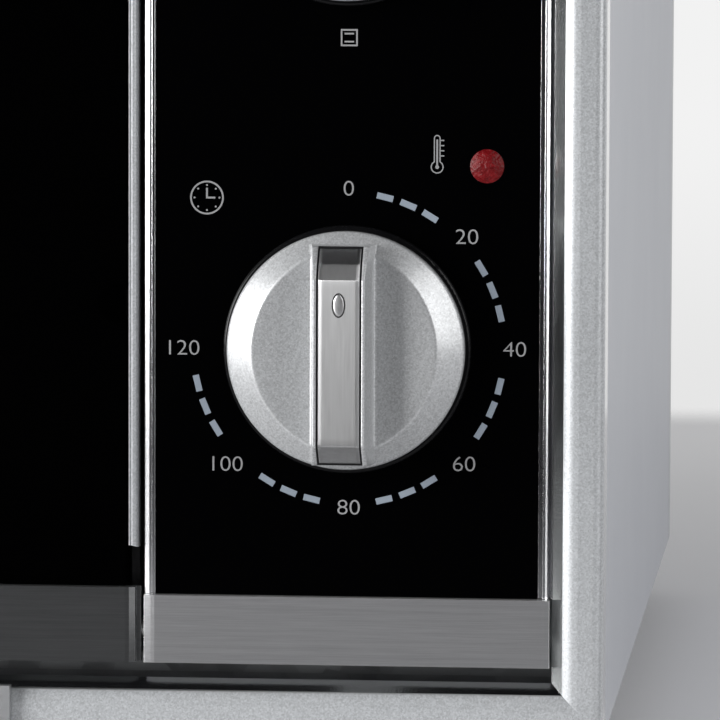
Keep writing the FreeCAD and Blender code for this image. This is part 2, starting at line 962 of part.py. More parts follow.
def control_bracket():
    front = glass_y + panel_glass_thickness
    x0 = knob_x - bracket_left
    x1 = knob_x + bracket_right
    low = panel_low + bracket_end_margin
    high = panel_high - bracket_end_margin
    outer = box(x0, x1, front, plate_y, low, high)
    inner = box(
        x0 + bracket_thickness, x1 - bracket_thickness, front + bracket_thickness, plate_y + over,
        low - over, high + over,
    )
    holes = []
    for z in knob_heights:
        holes.append(rod(
            Vector(knob_x, front - over, z), Vector(knob_x, front + bracket_thickness + over, z),
            bushing_radius + running_clearance,
        ))
    lamp = Vector(knob_x + indicator_right, front - over, knob_low_z + indicator_up)
    holes.append(rod(
        lamp, lamp + Vector(0, bracket_thickness + 2 * over, 0), indicator_flange_radius + seat_gap
    ))
    return without(outer, [inner] + holes)


def mechanism_front():
    return glass_y + panel_glass_thickness + bracket_thickness


def with_bushing(body, height):
    """Adds the threaded bushing in the bracket and the shaft's bore."""
    face = mechanism_front()
    bushing = rod(
        Vector(knob_x, face - bracket_thickness, height), Vector(knob_x, face + lap, height), bushing_radius
    )
    bore = rod(
        Vector(knob_x, face - bracket_thickness - over, height),
        Vector(knob_x, face + shaft_inside + shaft_end_gap, height),
        shaft_radius + running_clearance,
    )
    return fused([body, bushing]).cut(bore)


def timer_mechanism():
    face = mechanism_front()
    half = timer_size / 2
    z = knob_heights[0]
    body = box(knob_x - half, knob_x + half, face, face + timer_depth, z - half, z + half)
    body = body.makeFillet(timer_corner, edges_where(body, lambda e: spans(e, "y")))
    post = rod(
        Vector(knob_x, face + timer_depth - lap, z),
        Vector(knob_x, face + timer_depth + bell_depth - bell_sheet, z), bell_post_radius,
    )
    return with_bushing(fused([body, post]), z)


def timer_bell():
    face = mechanism_front() + timer_depth
    z = knob_heights[0]
    outer = Part.makeCone(
        bell_radius, bell_tip_radius, bell_depth, Vector(knob_x, face + bell_gap, z), Vector(0, 1, 0)
    )
    inner = Part.makeCone(
        bell_radius - bell_sheet, bell_tip_radius - bell_sheet, bell_depth - bell_sheet,
        Vector(knob_x, face + bell_gap - hair, z), Vector(0, 1, 0),
    )
    eye = rod(Vector(knob_x, face, z), Vector(knob_x, face + 2 * bell_depth, z), bell_eye_radius)
    return without(outer, [inner, eye])


def function_switch():
    face = mechanism_front()
    half = switch_size / 2
    z = knob_heights[1]
    body = box(knob_x - half, knob_x + half, face, face + switch_depth, z - half, z + half)
    body = body.makeFillet(switch_corner, edges_where(body, lambda e: spans(e, "y")))
    tabs = []
    for column in (-1, 1):
        for row in range(switch_tab_rows):
            x = knob_x + column * switch_tab_column
            height = z + (row - (switch_tab_rows - 1) / 2) * switch_tab_pitch
            tabs.append(box(
                x - switch_tab_width / 2, x + switch_tab_width / 2,
                face + switch_depth - lap, face + switch_depth + switch_tab_length,
                height - switch_tab_thickness / 2, height + switch_tab_thickness / 2,
            ))
    return with_bushing(fused([body] + tabs), z)


def thermostat_body():
    face = mechanism_front()
    z = knob_heights[2]
    cup = rod(
        Vector(knob_x, face, z), Vector(knob_x, face + thermostat_depth, z), thermostat_radius
    )
    reach = thermostat_radius + thermostat_wing
    wing = box(
        knob_x - reach, knob_x + reach, face, face + thermostat_wing_thickness,
        z - thermostat_wing_height / 2, z + thermostat_wing_height / 2,
    )
    neck = rod(
        Vector(knob_x, face + thermostat_depth - lap, z),
        Vector(knob_x, face + thermostat_depth + thermostat_neck_length, z), thermostat_neck_radius,
    )
    return with_bushing(fused([cup, wing, neck]), z)


def thermostat_sensor():
    """The liquid-filled bulb in the cavity and the capillary that joins it to the thermostat."""
    y = sensor_exit()
    inside = cavity_right - sensor_wall_gap
    bulb_start = sensor_start()
    bulb = rod(
        Vector(inside, bulb_start, sensor_height),
        Vector(inside, bulb_start + sensor_length, sensor_height), sensor_radius,
    )
    start = mechanism_front() + thermostat_depth + thermostat_neck_length
    outside = cavity_right + 2 * capillary_step
    line = bent_tube([
        Vector(inside, bulb_start + lap, sensor_height),
        Vector(inside, y, sensor_height),
        Vector(outside, y, sensor_height),
        Vector(outside, y - 3 * capillary_step, knob_heights[-1]),
        Vector(knob_x, start + capillary_lead, knob_heights[-1]),
        Vector(knob_x, start, knob_heights[-1]),
    ], capillary_radius, capillary_bend)
    return fused([bulb, line])


def sensor_clips():
    """Two spring clips that hold the bulb off the cavity wall."""
    clips = []
    half = sensor_clip_width / 2
    inside = cavity_right - sensor_wall_gap
    for share in sensor_clip_shares:
        y = sensor_start() + share * sensor_length
        tongue = box(
            inside + sensor_radius / 2, cavity_right, y - half, y + half,
            sensor_height - sensor_radius - sensor_clip_thickness, sensor_height - sensor_radius,
        )
        ring = rod(
            Vector(inside, y - half, sensor_height), Vector(inside, y + half, sensor_height),
            sensor_radius + sensor_clip_thickness,
        )
        clip = fused([ring, tongue])
        hole = rod(
            Vector(inside, y - half - over, sensor_height), Vector(inside, y + half + over, sensor_height),
            sensor_radius + running_clearance,
        )
        clips.append(clip.cut(hole))
    return group(clips)


def turned(shape, height):
    """Stands a part modelled with its axis along +Z on the panel, at one control's place."""
    shape.rotate(Vector(0, 0, 0), Vector(1, 0, 0), 90)
    shape.translate(Vector(knob_x, glass_y, height))
    return shape


def knob_bar_outline(inset):
    """The bar's outline from the side, drawn in by inset, as (along, height) points."""
    bend = math.atan2(knob_bar_end_drop, knob_bar_end_half - knob_bar_flat_half)
    foot = knob_rim_height - lap
    top = knob_bar_height - inset
    flat = knob_bar_flat_half - inset * math.tan(bend / 2)
    end_height = knob_bar_height - knob_bar_end_drop - inset / math.cos(bend)
    right = [(flat, top), (knob_bar_end_half, end_height), (knob_bar_foot_end, foot)]
    left = [(-along, height) for along, height in reversed(right)]
    return left + right


def knob_cap(height):
    rim = Part.makeCylinder(knob_radius, knob_rim_height - knob_skirt_high, Vector(0, 0, knob_skirt_high))
    rise = knob_bar_height - knob_rim_height
    cone = Part.makeCone(
        knob_radius, knob_radius - rise / knob_rim_slope, rise, Vector(0, 0, knob_rim_height)
    )
    reach = knob_radius + 2 * over
    outer = knob_dish_height + knob_dish_slope * reach
    dish = Part.makePolygon([
        Vector(-reach, -reach, 0), Vector(-reach, -reach, outer), Vector(0, -reach, knob_dish_height),
        Vector(reach, -reach, outer), Vector(reach, -reach, 0), Vector(-reach, -reach, 0),
    ])
    faces = cone.common(Part.Face(dish).extrude(Vector(0, 2 * reach, 0)))
    foot = knob_rim_height - lap
    section = Part.makePolygon([
        Vector(-knob_bar_foot_half, -reach, foot), Vector(-knob_bar_top_half, -reach, knob_bar_height),
        Vector(knob_bar_top_half, -reach, knob_bar_height), Vector(knob_bar_foot_half, -reach, foot),
        Vector(-knob_bar_foot_half, -reach, foot),
    ])
    bar = Part.Face(section).extrude(Vector(0, 2 * reach, 0))
    bar = bar.common(prism_along_x(knob_bar_outline(0), -reach, reach))
    bar = bar.common(Part.makeCylinder(knob_radius - knob_bar_rim_space, knob_bar_height + over))
    cap = fused([rim, faces, bar])
    half = knob_insert_width / 2 + knob_insert_gap
    end = knob_insert_half + knob_insert_gap
    above = prism_along_x(knob_bar_outline(-2 * over), -half, half)
    channel = above.cut(prism_along_x(knob_bar_outline(knob_insert_thickness), -half - over, half + over))
    channel = channel.common(box(-half, half, -end, end, knob_rim_height, knob_bar_height + over))
    hollow = Part.makeCylinder(
        knob_radius - knob_shell_wall, knob_rim_height - knob_face_wall - knob_skirt_high + over,
        Vector(0, 0, knob_skirt_high - over),
    )
    socket = Part.makeCylinder(knob_hub_radius + running_clearance, knob_hub_height + seat_gap)
    return turned(without(cap, [channel, hollow, socket]), height)


def knob_insert(height):
    half = knob_insert_width / 2
    outer = prism_along_x(knob_bar_outline(0), -half, half)
    inner = prism_along_x(
        knob_bar_outline(knob_insert_thickness - knob_insert_seat), -half - over, half + over
    )
    strip = outer.cut(inner)
    end = knob_insert_half
    strip = strip.common(box(-half, half, -end, end, knob_rim_height, knob_bar_height + over))
    floor = knob_bar_height - knob_mark_depth
    marks = []
    for grow in (knob_mark_line / 2, -knob_mark_line / 2):
        outline = Part.Ellipse(
            Vector(0, knob_mark_long + grow, floor), Vector(knob_mark_short + grow, 0, floor),
            Vector(0, 0, floor),
        )
        mark = Part.Face(Part.Wire(outline.toShape())).extrude(Vector(0, 0, over))
        mark.translate(Vector(0, knob_mark_offset, 0))
        marks.append(mark)
    return turned(strip.cut(marks[0].cut(marks[1])), height)


def knob_core(height):
    skirt = Part.makeCylinder(
        knob_skirt_radius, knob_skirt_high - knob_skirt_low, Vector(0, 0, knob_skirt_low)
    )
    skirt = skirt.makeFillet(knob_skirt_round, edges_where(
        skirt, lambda e: near(e.BoundBox.ZMin, knob_skirt_high)
    ))
    hub = Part.makeCylinder(knob_hub_radius, knob_hub_height - knob_skirt_low, Vector(0, 0, knob_skirt_low))
    bore = Part.makeCylinder(shaft_radius + running_clearance, knob_hub_height - knob_hub_roof)
    flat = box(
        -shaft_radius - over, shaft_radius + over, shaft_radius - shaft_flat + running_clearance,
        shaft_radius + over, knob_skirt_high, knob_hub_height,
    )
    return turned(fused([skirt, hub]).cut(bore.cut(flat)), height)


def knob_shaft(height):
    low = -(mechanism_front() + shaft_inside - glass_y)
    high = knob_hub_height - knob_hub_roof - shaft_end_gap
    shaft = Part.makeCylinder(shaft_radius, high - low, Vector(0, 0, low))
    flat = box(
        -shaft_radius - over, shaft_radius + over, shaft_radius - shaft_flat, shaft_radius + over,
        knob_skirt_high - seat_gap, high + over,
    )
    return turned(shaft.cut(flat), height)


def indicator_place(depth):
    return Vector(knob_x + indicator_right, glass_y + depth, knob_low_z + indicator_up)


def indicator_lens():
    front = indicator_place(-indicator_dome)
    stem = rod(
        indicator_place(0), indicator_place(panel_glass_thickness + indicator_flange_thickness),
        indicator_radius,
    )
    ball_radius = (indicator_radius ** 2 + indicator_dome ** 2) / (2 * indicator_dome)
    ball = Part.makeSphere(ball_radius, front + Vector(0, ball_radius, 0))
    column = rod(indicator_place(-indicator_dome - over), indicator_place(lap), indicator_radius)
    flange = rod(
        indicator_place(panel_glass_thickness),
        indicator_place(panel_glass_thickness + indicator_flange_thickness), indicator_flange_radius,
    )
    return fused([stem, ball.common(column), flange])


def indicator_holder():
    start = panel_glass_thickness + indicator_flange_thickness
    body = rod(
        indicator_place(start), indicator_place(start + indicator_body_length), indicator_body_radius
    )
    pocket = rod(
        indicator_place(start - over), indicator_place(start + indicator_pocket), indicator_radius + seat_gap
    )
    tabs = []
    for side in (-1, 1):
        root = indicator_place(start + indicator_body_length)
        middle = root.x + side * indicator_tab_offset
        tabs.append(box(
            middle - indicator_tab_thickness / 2, middle + indicator_tab_thickness / 2,
            root.y - lap, root.y + indicator_tab_length,
            root.z - indicator_tab_width / 2, root.z + indicator_tab_width / 2,
        ))
    return fused([body.cut(pocket)] + tabs)


def lamp_axis(depth):
    return Vector(cavity_right + depth, cavity_back - lamp_back_space, lamp_height)


def dome(radius, length, wall_x):
    """A round-nosed cover that stands out of the cavity wall."""
    straight = rod(lamp_axis(wall_x), lamp_axis(wall_x - length + radius), radius)
    nose = Part.makeSphere(radius, lamp_axis(wall_x - length + radius), Vector(1, 0, 0))
    return fused([straight, nose])


def oven_lamp_cover():
    shell = dome(lamp_dome_radius, lamp_dome_length, 0)
    shell = shell.common(rod(lamp_axis(0), lamp_axis(-2 * lamp_dome_length), 2 * lamp_dome_radius))
    ring = rod(lamp_axis(0), lamp_axis(-lamp_ring_thickness), lamp_ring_radius)
    hollow = dome(lamp_dome_radius - lamp_wall, lamp_dome_length - lamp_wall + over, over)
    return fused([shell, ring]).cut(hollow)


def oven_lamp_holder():
    socket = rod(lamp_axis(0), lamp_axis(lamp_socket_length), lamp_socket_radius)
    flange = rod(lamp_axis(sheet), lamp_axis(sheet + lamp_flange_thickness), lamp_ring_radius)
    floor = lamp_socket_length - lamp_socket_floor
    well = rod(lamp_axis(-over), lamp_axis(floor), lamp_neck_radius + seat_gap)
    return fused([socket, flange]).cut(well)


def oven_lamp_bulb():
    floor = lamp_socket_length - lamp_socket_floor - seat_gap
    base = rod(lamp_axis(floor), lamp_axis(-lamp_bulb_radius / 2), lamp_neck_radius)
    globe = Part.makeSphere(
        lamp_bulb_radius, lamp_axis(-lamp_bulb_length + lamp_bulb_radius), Vector(1, 0, 0)
    )
    return fused([base, globe])


def terminal_block():
    y = back_y - block_inset
    body = box(
        gland_right - block_width / 2, gland_right + block_width / 2, y - block_depth, y,
        base_top, base_top + block_height,
    )
    holes = []
    for index in (-1, 0, 1):
        x = gland_right + index * block_width / 3
        column = y - block_hole_inset
        entry = base_top + block_entry_height
        holes.append(rod(
            Vector(x, column, base_top + block_hole_floor),
            Vector(x, column, base_top + block_height + over), block_hole_radius,
        ))
        holes.append(rod(
            Vector(x, y + over, entry), Vector(x, y - block_entry_depth, entry), block_hole_radius
        ))
    return without(body, holes)


def cord_gland():
    """The inlet bush in the back panel; it ends in a bare bore."""
    body = rod(
        Vector(gland_right, back_y - sheet - gland_inside, gland_height),
        Vector(gland_right, back_y + gland_outside, gland_height), gland_radius,
    )
    collar = rod(
        Vector(gland_right, back_y, gland_height),
        Vector(gland_right, back_y + gland_collar_thickness, gland_height), gland_collar_radius,
    )
    nut = rod(
        Vector(gland_right, back_y - sheet - gland_collar_thickness, gland_height),
        Vector(gland_right, back_y - sheet, gland_height), gland_collar_radius,
    )
    bore = rod(
        Vector(gland_right, back_y - sheet - gland_inside - over, gland_height),
        Vector(gland_right, back_y + gland_outside + over, gland_height), gland_bore,
    )
    return fused([body, collar, nut]).cut(bore)


def loom_route():
    x = gland_right
    back = back_y - block_inset - block_depth
    riser = mechanism_front() + timer_depth + bell_depth + loom_back
    top = knob_heights[1] + switch_tab_pitch
    end = mechanism_front() + switch_depth
    return [
        Vector(x, back, loom_height),
        Vector(x, riser, loom_height),
        Vector(x, riser, top),
        Vector(x, end, top),
    ]


def wiring_loom():
    return bent_tube(loom_route(), loom_radius, loom_bend)


def wire_clips():
    """Saddle clips that hold the loom to the base plate."""
    clips = []
    start, end = loom_route()[:2]
    for share in clip_shares:
        y = start.y + (end.y - start.y) * share
        radius = loom_radius + clip_wall
        ring = rod(
            Vector(start.x, y, loom_height), Vector(start.x, y + clip_length, loom_height), radius
        )
        stem = box(start.x - clip_wall, start.x + clip_wall, y, y + clip_length, base_top, loom_height)
        foot = box(
            start.x - clip_foot_half, start.x + clip_foot_half, y, y + clip_length,
            base_top, base_top + clip_wall,
        )
        bore = rod(
            Vector(start.x, y - over, loom_height), Vector(start.x, y + clip_length + over, loom_height),
            loom_radius + running_clearance,
        )
        clips.append(fused([ring, stem, foot]).cut(bore))
    return group(clips)


def screw(place, outward):
    """A pan-head screw with its head's seat at place and its head on the outward side."""
    head = Part.makeCone(
        screw_head_radius, screw_crown_radius, screw_head_height, place, outward
    )
    shank = Part.makeCylinder(screw_shank_radius, screw_shank_length, place, outward * -1)
    slot = Part.makeBox(screw_cross_length, screw_cross_width, screw_recess + over)
    slot.translate(Vector(-screw_cross_length / 2, -screw_cross_width / 2, screw_head_height - screw_recess))
    cross = slot.copy()
    cross.rotate(Vector(0, 0, 0), Vector(0, 0, 1), 90)
    recess = slot.fuse(cross)
    turn = FreeCAD.Rotation(Vector(0, 0, 1), outward)
    recess.Placement = FreeCAD.Placement(place, turn)
    return fused([head, shank]).cut(recess)


def screw_hole(place, outward):
    end = place - outward * (screw_shank_length + screw_end_gap)
    return rod(place + outward * over, end, screw_shank_radius + running_clearance)


def back_screw_places():
    rows = (body_low + back_screw_end, body_top - back_screw_end)
    columns = (-half_width + back_screw_side, 0, half_width - back_screw_side)
    return [Vector(x, back_y, z) for x in columns for z in rows]


def door_ring(grow, y0, y1):
    """A block over the door's window, grown by some length on every side."""
    return box(
        door_left + window_side - grow, door_right - window_side + grow, y0, y1,
        door_low + window_low - grow, door_high - window_high + grow,
    )


def door_frame():
    """A pan behind the outer glass, with a deep channel round the window for the inner glass."""
    x0 = door_left + door_glass_inset
    x1 = door_right - door_glass_inset
    z0 = door_low + door_glass_inset
    wall = door_frame_wall
    frame = box(x0, x1, door_glass_back_y, door_back_y, z0, door_high)
    hollow = box(
        x0 + wall, x1 - wall, door_glass_back_y - over, door_back_y - wall, z0 + wall, door_high - wall
    )
    channel = door_ring(inner_glass_lap + wall, glass_y, door_back_y + over)
    joined = [frame.cut(hollow.cut(channel))]
    bores = []
    for end, inward in ((door_left, 1), (door_right, -1)):
        start = end + inward * (strip_sheet + hinge_lug_side_gap)
        stop = start + inward * hinge_lug_width
        joined.append(box(
            min(start, stop), max(start, stop),
            strip_y + strip_sheet + slide_gap, door_glass_back_y + hinge_lug_depth,
            door_low + strip_sheet + slide_gap, hinge_z + hinge_pin_radius + hinge_plate_collar,
        ))
        bores.append(rod(
            Vector(end - inward, hinge_y, hinge_z),
            Vector(end + inward * (hinge_pin_hold + shaft_end_gap), hinge_y, hinge_z),
            hinge_pin_radius + running_clearance,
        ))
    for x in handle_post_places():
        front = Vector(x, door_glass_back_y, handle_z())
        back = Vector(x, door_back_y, handle_z())
        beyond = Vector(0, over, 0)
        joined.append(rod(front, back, door_boss_radius))
        bores.append(rod(front - beyond, back + beyond, handle_screw_radius + running_clearance))
        bores.append(rod(
            back - Vector(0, handle_screw_recess, 0), back + beyond, handle_screw_head + seat_gap
        ))
    for place in arm_screw_places():
        front = Vector(place.x, door_glass_back_y, place.z)
        joined.append(rod(front, place, screw_head_radius))
        bores.append(screw_hole(place, Vector(0, 1, 0)))
    window = door_ring(0, glass_y, door_back_y + over)
    rebate = door_ring(inner_glass_lap, door_back_y - inner_glass_thickness, door_back_y + over)
    return without(fused(joined), [window, rebate] + bores)


def door_outer_glass():
    glass = box(
        door_left + door_edge_width + door_glass_inset, door_right - door_edge_width - door_glass_inset,
        glass_y, door_glass_back_y, door_low + door_strip_height + panel_strip_gap, door_high,
    )
    holes = []
    for x in handle_post_places():
        holes.append(rod(
            Vector(x, glass_y - over, handle_z()), Vector(x, door_glass_back_y + over, handle_z()),
            handle_screw_radius + running_clearance,
        ))
    return without(glass, holes)


def door_inner_glass():
    return door_ring(
        inner_glass_lap - seat_gap, door_back_y - inner_glass_thickness, door_back_y - seat_gap
    )


def door_edge(side):
    x0 = door_left if side < 0 else door_right - door_edge_width
    front = glass_y - door_edge_reach
    edge = box(
        x0, x0 + door_edge_width, front, front + door_edge_back,
        door_low + door_strip_height + door_edge_drop, door_high,
    )
    inner = box(
        x0 - over, x0 + door_edge_width + over, door_glass_back_y - seat_gap, front + door_edge_back + over,
        door_low, door_high + over,
    )
    edge = edge.makeFillet(door_edge_round, edges_where(
        edge, lambda e: spans(e, "z") and near(e.BoundBox.YMin, front)
    ))
    return edge.cut(inner)


def door_bottom_strip():
    strip = folded_strip(
        door_left, door_right - panel_strip_gap, door_low, door_low + door_strip_height
    )
    return strip.cut(pin_relief())


def handle_z():
    return door_high - handle_below_top


def handle_post_places():
    middle = (door_left + door_right) / 2
    half = handle_length / 2 - handle_post_inset
    return (middle - half, middle + half)


def handle_bar():
    middle = (door_left + door_right) / 2
    front = glass_y - handle_reach
    z = handle_z()
    bar = box(
        middle - handle_length / 2, middle + handle_length / 2, front, front + handle_thickness,
        z - handle_height / 2, z + handle_height / 2,
    )
    bar = bar.makeFillet(handle_round, edges_where(bar, lambda e: spans(e, "x")))
    holes = [rod(
        Vector(x, front + handle_thickness - handle_screw_depth, z),
        Vector(x, front + handle_thickness + over, z),
        handle_screw_radius + running_clearance,
    ) for x in handle_post_places()]
    return without(bar, holes)


def handle_posts():
    posts = []
    back = glass_y - handle_reach + handle_thickness
    for x in handle_post_places():
        post = Part.makeCone(
            handle_post_radius, handle_post_radius + handle_post_flare, glass_y - back,
            Vector(x, back, handle_z()), Vector(0, 1, 0),
        )
        bore = rod(
            Vector(x, back - over, handle_z()), Vector(x, glass_y + over, handle_z()),
            handle_screw_radius + running_clearance,
        )
        posts.append(post.cut(bore))
    return group(posts)


def hinge_arm_top():
    """The height at which the quadrant's outer edge meets the door's back."""
    outer = hinge_arm_radius + hinge_arm_width / 2
    return hinge_z + math.sqrt(outer ** 2 - (door_back_y - hinge_y) ** 2)


def arm_screw_places():
    height = hinge_arm_top() + hinge_arm_foot / 2
    return [Vector(x + hinge_arm_thickness / 2, door_back_y, height) for x in hinge_arm_places()]


def door_screws():
    """The long handle screws and the short screws of the hinge arms."""
    screws = []
    for x in handle_post_places():
        seat = door_back_y - handle_screw_recess
        head = rod(
            Vector(x, seat, handle_z()), Vector(x, seat + screw_head_height, handle_z()),
            handle_screw_head,
        )
        tip = glass_y - handle_reach + handle_thickness - handle_screw_depth + over
        shank = rod(
            Vector(x, tip, handle_z()), Vector(x, seat + lap, handle_z()), handle_screw_radius
        )
        screws.append(fused([head, shank]))
    for place in arm_screw_places():
        seat = place + Vector(0, hinge_arm_thickness, 0)
        head = Part.makeCylinder(arm_screw_head_radius, arm_screw_head_height, seat, Vector(0, 1, 0))
        shank = Part.makeCylinder(screw_shank_radius, screw_shank_length, seat, Vector(0, -1, 0))
        screws.append(fused([head, shank]))
    return group(screws)


def hinge_pins():
    pins = []
    plates = hinge_plate_places()
    for end, inward, plate in ((door_left, 1, plates[0]), (door_right, -1, plates[1])):
        inner = end + inward * hinge_pin_hold
        outer = plate + hinge_plate_thickness / 2 - inward * (hinge_plate_thickness / 2 + hinge_pin_proud)
        pins.append(rod(Vector(inner, hinge_y, hinge_z), Vector(outer, hinge_y, hinge_z), hinge_pin_radius))
    return group(pins)


def polar(radius, degrees):
    """A point at a distance from the hinge axis, at an angle from straight up towards the back."""
    angle = math.radians(degrees)
    return hinge_y + radius * math.sin(angle), hinge_z + radius * math.cos(angle)


def hinge_arm(x):
    """A quadrant about the hinge axis, screwed to the door's back and guided by a slot."""
    outer = hinge_arm_radius + hinge_arm_width / 2
    inner = hinge_arm_radius - hinge_arm_width / 2
    start = math.degrees(math.asin((door_back_y - hinge_y) / outer)) - hinge_arm_lead_deg
    middle = (start + hinge_arm_end_deg) / 2

    def point(radius, degrees):
        y, z = polar(radius, degrees)
        return Vector(x, y, z)

    outline = Part.Wire([
        Part.Arc(point(outer, start), point(outer, middle), point(outer, hinge_arm_end_deg)).toShape(),
        Part.LineSegment(point(outer, hinge_arm_end_deg), point(inner, hinge_arm_end_deg)).toShape(),
        Part.Arc(point(inner, hinge_arm_end_deg), point(inner, middle), point(inner, start)).toShape(),
        Part.LineSegment(point(inner, start), point(outer, start)).toShape(),
    ])
    arc = Part.Face(outline).extrude(Vector(hinge_arm_thickness, 0, 0))
    arc = arc.cut(box(x - over, x + hinge_arm_thickness + over, front_y, door_back_y, 0, body_top))
    top = hinge_arm_top()
    centre = x + hinge_arm_thickness / 2
    foot = box(
        centre - hinge_arm_foot_width / 2, centre + hinge_arm_foot_width / 2,
        door_back_y, door_back_y + hinge_arm_thickness,
        top - hinge_arm_width - hinge_arm_foot_lap, top + hinge_arm_foot,
    )
    hole = rod(
        Vector(centre, door_back_y - over, top + hinge_arm_foot / 2),
        Vector(centre, door_back_y + hinge_arm_thickness + over, top + hinge_arm_foot / 2),
        screw_shank_radius + running_clearance,
    )
    return fused([arc, foot]).cut(hole)


def rack_rest_height():
    return guide_levels[rack_level] + guide_wire_radius + rack_seat_gap + rack_frame_radius


def rack_sides():
    inset = 3 * guide_wire_radius + rack_side_gap
    return cavity_left + inset, cavity_right - inset


def wire_rack():
    left, right = rack_sides()
    front = plate_back_y + rack_front_space
    rear = cavity_back - rack_back_space
    z = rack_rest_height()
    half = Vector((left + right) / 2, front, z)
    ring = bent_tube([
        half, Vector(right, front, z), Vector(right, rear, z), Vector(left, rear, z),
        Vector(left, front, z), half,
    ], rack_frame_radius, rack_corner)
    bars = []
    inner_left = left + rack_corner + rack_bar_end_space
    inner_right = right - rack_corner - rack_bar_end_space
    for index in range(rack_bar_count):
        x = inner_left + (inner_right - inner_left) * index / (rack_bar_count - 1)
        bars.append(rod(Vector(x, front, z), Vector(x, rear, z), rack_bar_radius))
    middle = (front + rear) / 2
    brace = rod(
        Vector(left + rack_brace_inset, middle, z - rack_bar_radius),
        Vector(right - rack_brace_inset, middle, z - rack_bar_radius), rack_brace_radius,
    )
    return fused([ring] + bars + [brace])


def tray_prism(x0, x1, y0, y1, z0, z1, draft):
    lower = [Vector(x0, y0, z0), Vector(x1, y0, z0), Vector(x1, y1, z0), Vector(x0, y1, z0)]
    upper = [
        Vector(x0 - draft, y0 - draft, z1), Vector(x1 + draft, y0 - draft, z1),
        Vector(x1 + draft, y1 + draft, z1), Vector(x0 - draft, y1 + draft, z1),
    ]
    return tapered_block(lower, upper)


def baking_tray():
    left, right = rack_sides()
    x0 = left + pan_side_space
    x1 = right - pan_side_space
    y0 = plate_back_y + rack_front_space + pan_side_space
    y1 = cavity_back - rack_back_space - pan_side_space
    z0 = rack_rest_height() + rack_bar_radius + pan_seat_gap
    z1 = z0 + pan_height
    outer = tray_prism(x0, x1, y0, y1, z0, z1, pan_draft)
    rim = box(
        x0 - pan_draft - pan_rim, x1 + pan_draft + pan_rim, y0 - pan_draft - pan_rim,
        y1 + pan_draft + pan_rim, z1 - pan_wall, z1,
    )
    rim = rim.makeFillet(pan_corner, edges_where(rim, lambda e: spans(e, "z")))
    inner = tray_prism(
        x0 + pan_wall, x1 - pan_wall, y0 + pan_wall, y1 - pan_wall,
        z0 + pan_wall, z1 + pan_wall, pan_draft,
    )
    return fused([outer, rim]).cut(inner)


def crumb_tray():
    front = front_y - seat_gap
    rear = cavity_back - crumb_tray_back_space
    top = tray_bottom + crumb_tray_height
    pan = box(tray_left, tray_right, front, rear, tray_bottom, top)
    hollow = box(
        tray_left + crumb_tray_wall, tray_right - crumb_tray_wall,
        frame_back_y, rear - crumb_tray_wall, tray_bottom + crumb_tray_wall, top + over,
    )
    lip = box(
        tray_left - crumb_lip_overlap, tray_right + crumb_lip_overlap,
        front - crumb_lip_thickness, front, tray_floor - crumb_lip_overlap + seat_gap, top + crumb_lip_rise,
    )
    middle = (tray_left + tray_right) / 2
    grip = box(
        middle - crumb_grip_width / 2, middle + crumb_grip_width / 2,
        front - crumb_lip_thickness - crumb_grip_reach, front - crumb_lip_thickness + lap,
        top + crumb_lip_rise - crumb_grip_thickness, top + crumb_lip_rise,
    )
    grip = grip.makeFillet(crumb_grip_round, edges_where(
        grip, lambda e: spans(e, "z") and e.BoundBox.YMax < front - crumb_lip_thickness
    ))
    return fused([pan.cut(hollow), lip, grip])


def write(name, shape):
    shape.exportStep("parts/" + name + ".step")


def main():
    os.makedirs("parts", exist_ok=True)
    back_places = back_screw_places()
    panel = back_panel().cut([screw_hole(place, Vector(0, 1, 0)) for place in back_places])
    write("front_frame", front_frame())
    write("housing_wrap", housing_wrap())
    write("back_panel", panel)
    write("base_plate", base_plate())
    write("feet", feet())
    write("front_plate", front_plate())
    write("cavity_liner", cavity_liner())
    write("rack_guide_left", rack_guide(-1))
    write("rack_guide_right", rack_guide(1))
    write("bottom_heating_element", heating_element(element_heights()[0]))
    write("top_heating_element", heating_element(element_heights()[1]))
    write("element_bushings", element_bushings())
    write("element_supports", element_supports())
    write("door_seal", door_seal())
    write("hinge_brackets", hinge_brackets())
    write("panel_glass", panel_glass())
    write("panel_side_trims", panel_side_trims())
    write("panel_bottom_strip", panel_bottom_strip())
    write("control_bracket", control_bracket())
    write("timer_mechanism", timer_mechanism())
    write("timer_bell", timer_bell())
    write("function_switch", function_switch())
    write("thermostat_body", thermostat_body())
    write("thermostat_sensor", thermostat_sensor())
    write("sensor_clips", sensor_clips())
    write("indicator_lens", indicator_lens())
    write("indicator_holder", indicator_holder())
    write("oven_lamp_cover", oven_lamp_cover())
    write("oven_lamp_holder", oven_lamp_holder())
    write("oven_lamp_bulb", oven_lamp_bulb())
    write("terminal_block", terminal_block())
    write("cord_gland", cord_gland())
    write("wiring_loom", wiring_loom())
    write("wire_clips", wire_clips())
    write("back_screws", group([screw(place, Vector(0, 1, 0)) for place in back_places]))
    write("door_frame", door_frame())
    write("door_outer_glass", door_outer_glass())
    write("door_inner_glass", door_inner_glass())
    write("door_edges", group([door_edge(-1), door_edge(1)]))
    write("door_bottom_strip", door_bottom_strip())
    write("handle_bar", handle_bar())
    write("handle_posts", handle_posts())
    write("hinge_arms", group([hinge_arm(x) for x in hinge_arm_places()]))
    write("hinge_pins", hinge_pins())
    write("door_screws", door_screws())
    write("wire_rack", wire_rack())
    write("baking_tray", baking_tray())
    write("crumb_tray", crumb_tray())
    for name, height in zip(knob_names, knob_heights):
        write(name + "_knob_cap", knob_cap(height))
        write(name + "_knob_insert", knob_insert(height))
        write(name + "_knob_core", knob_core(height))
        write(name + "_shaft", knob_shaft(height))


main()
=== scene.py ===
"""An electric countertop oven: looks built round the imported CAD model."""

import math

import bmesh
import bpy
from mathutils import Matrix, Vector


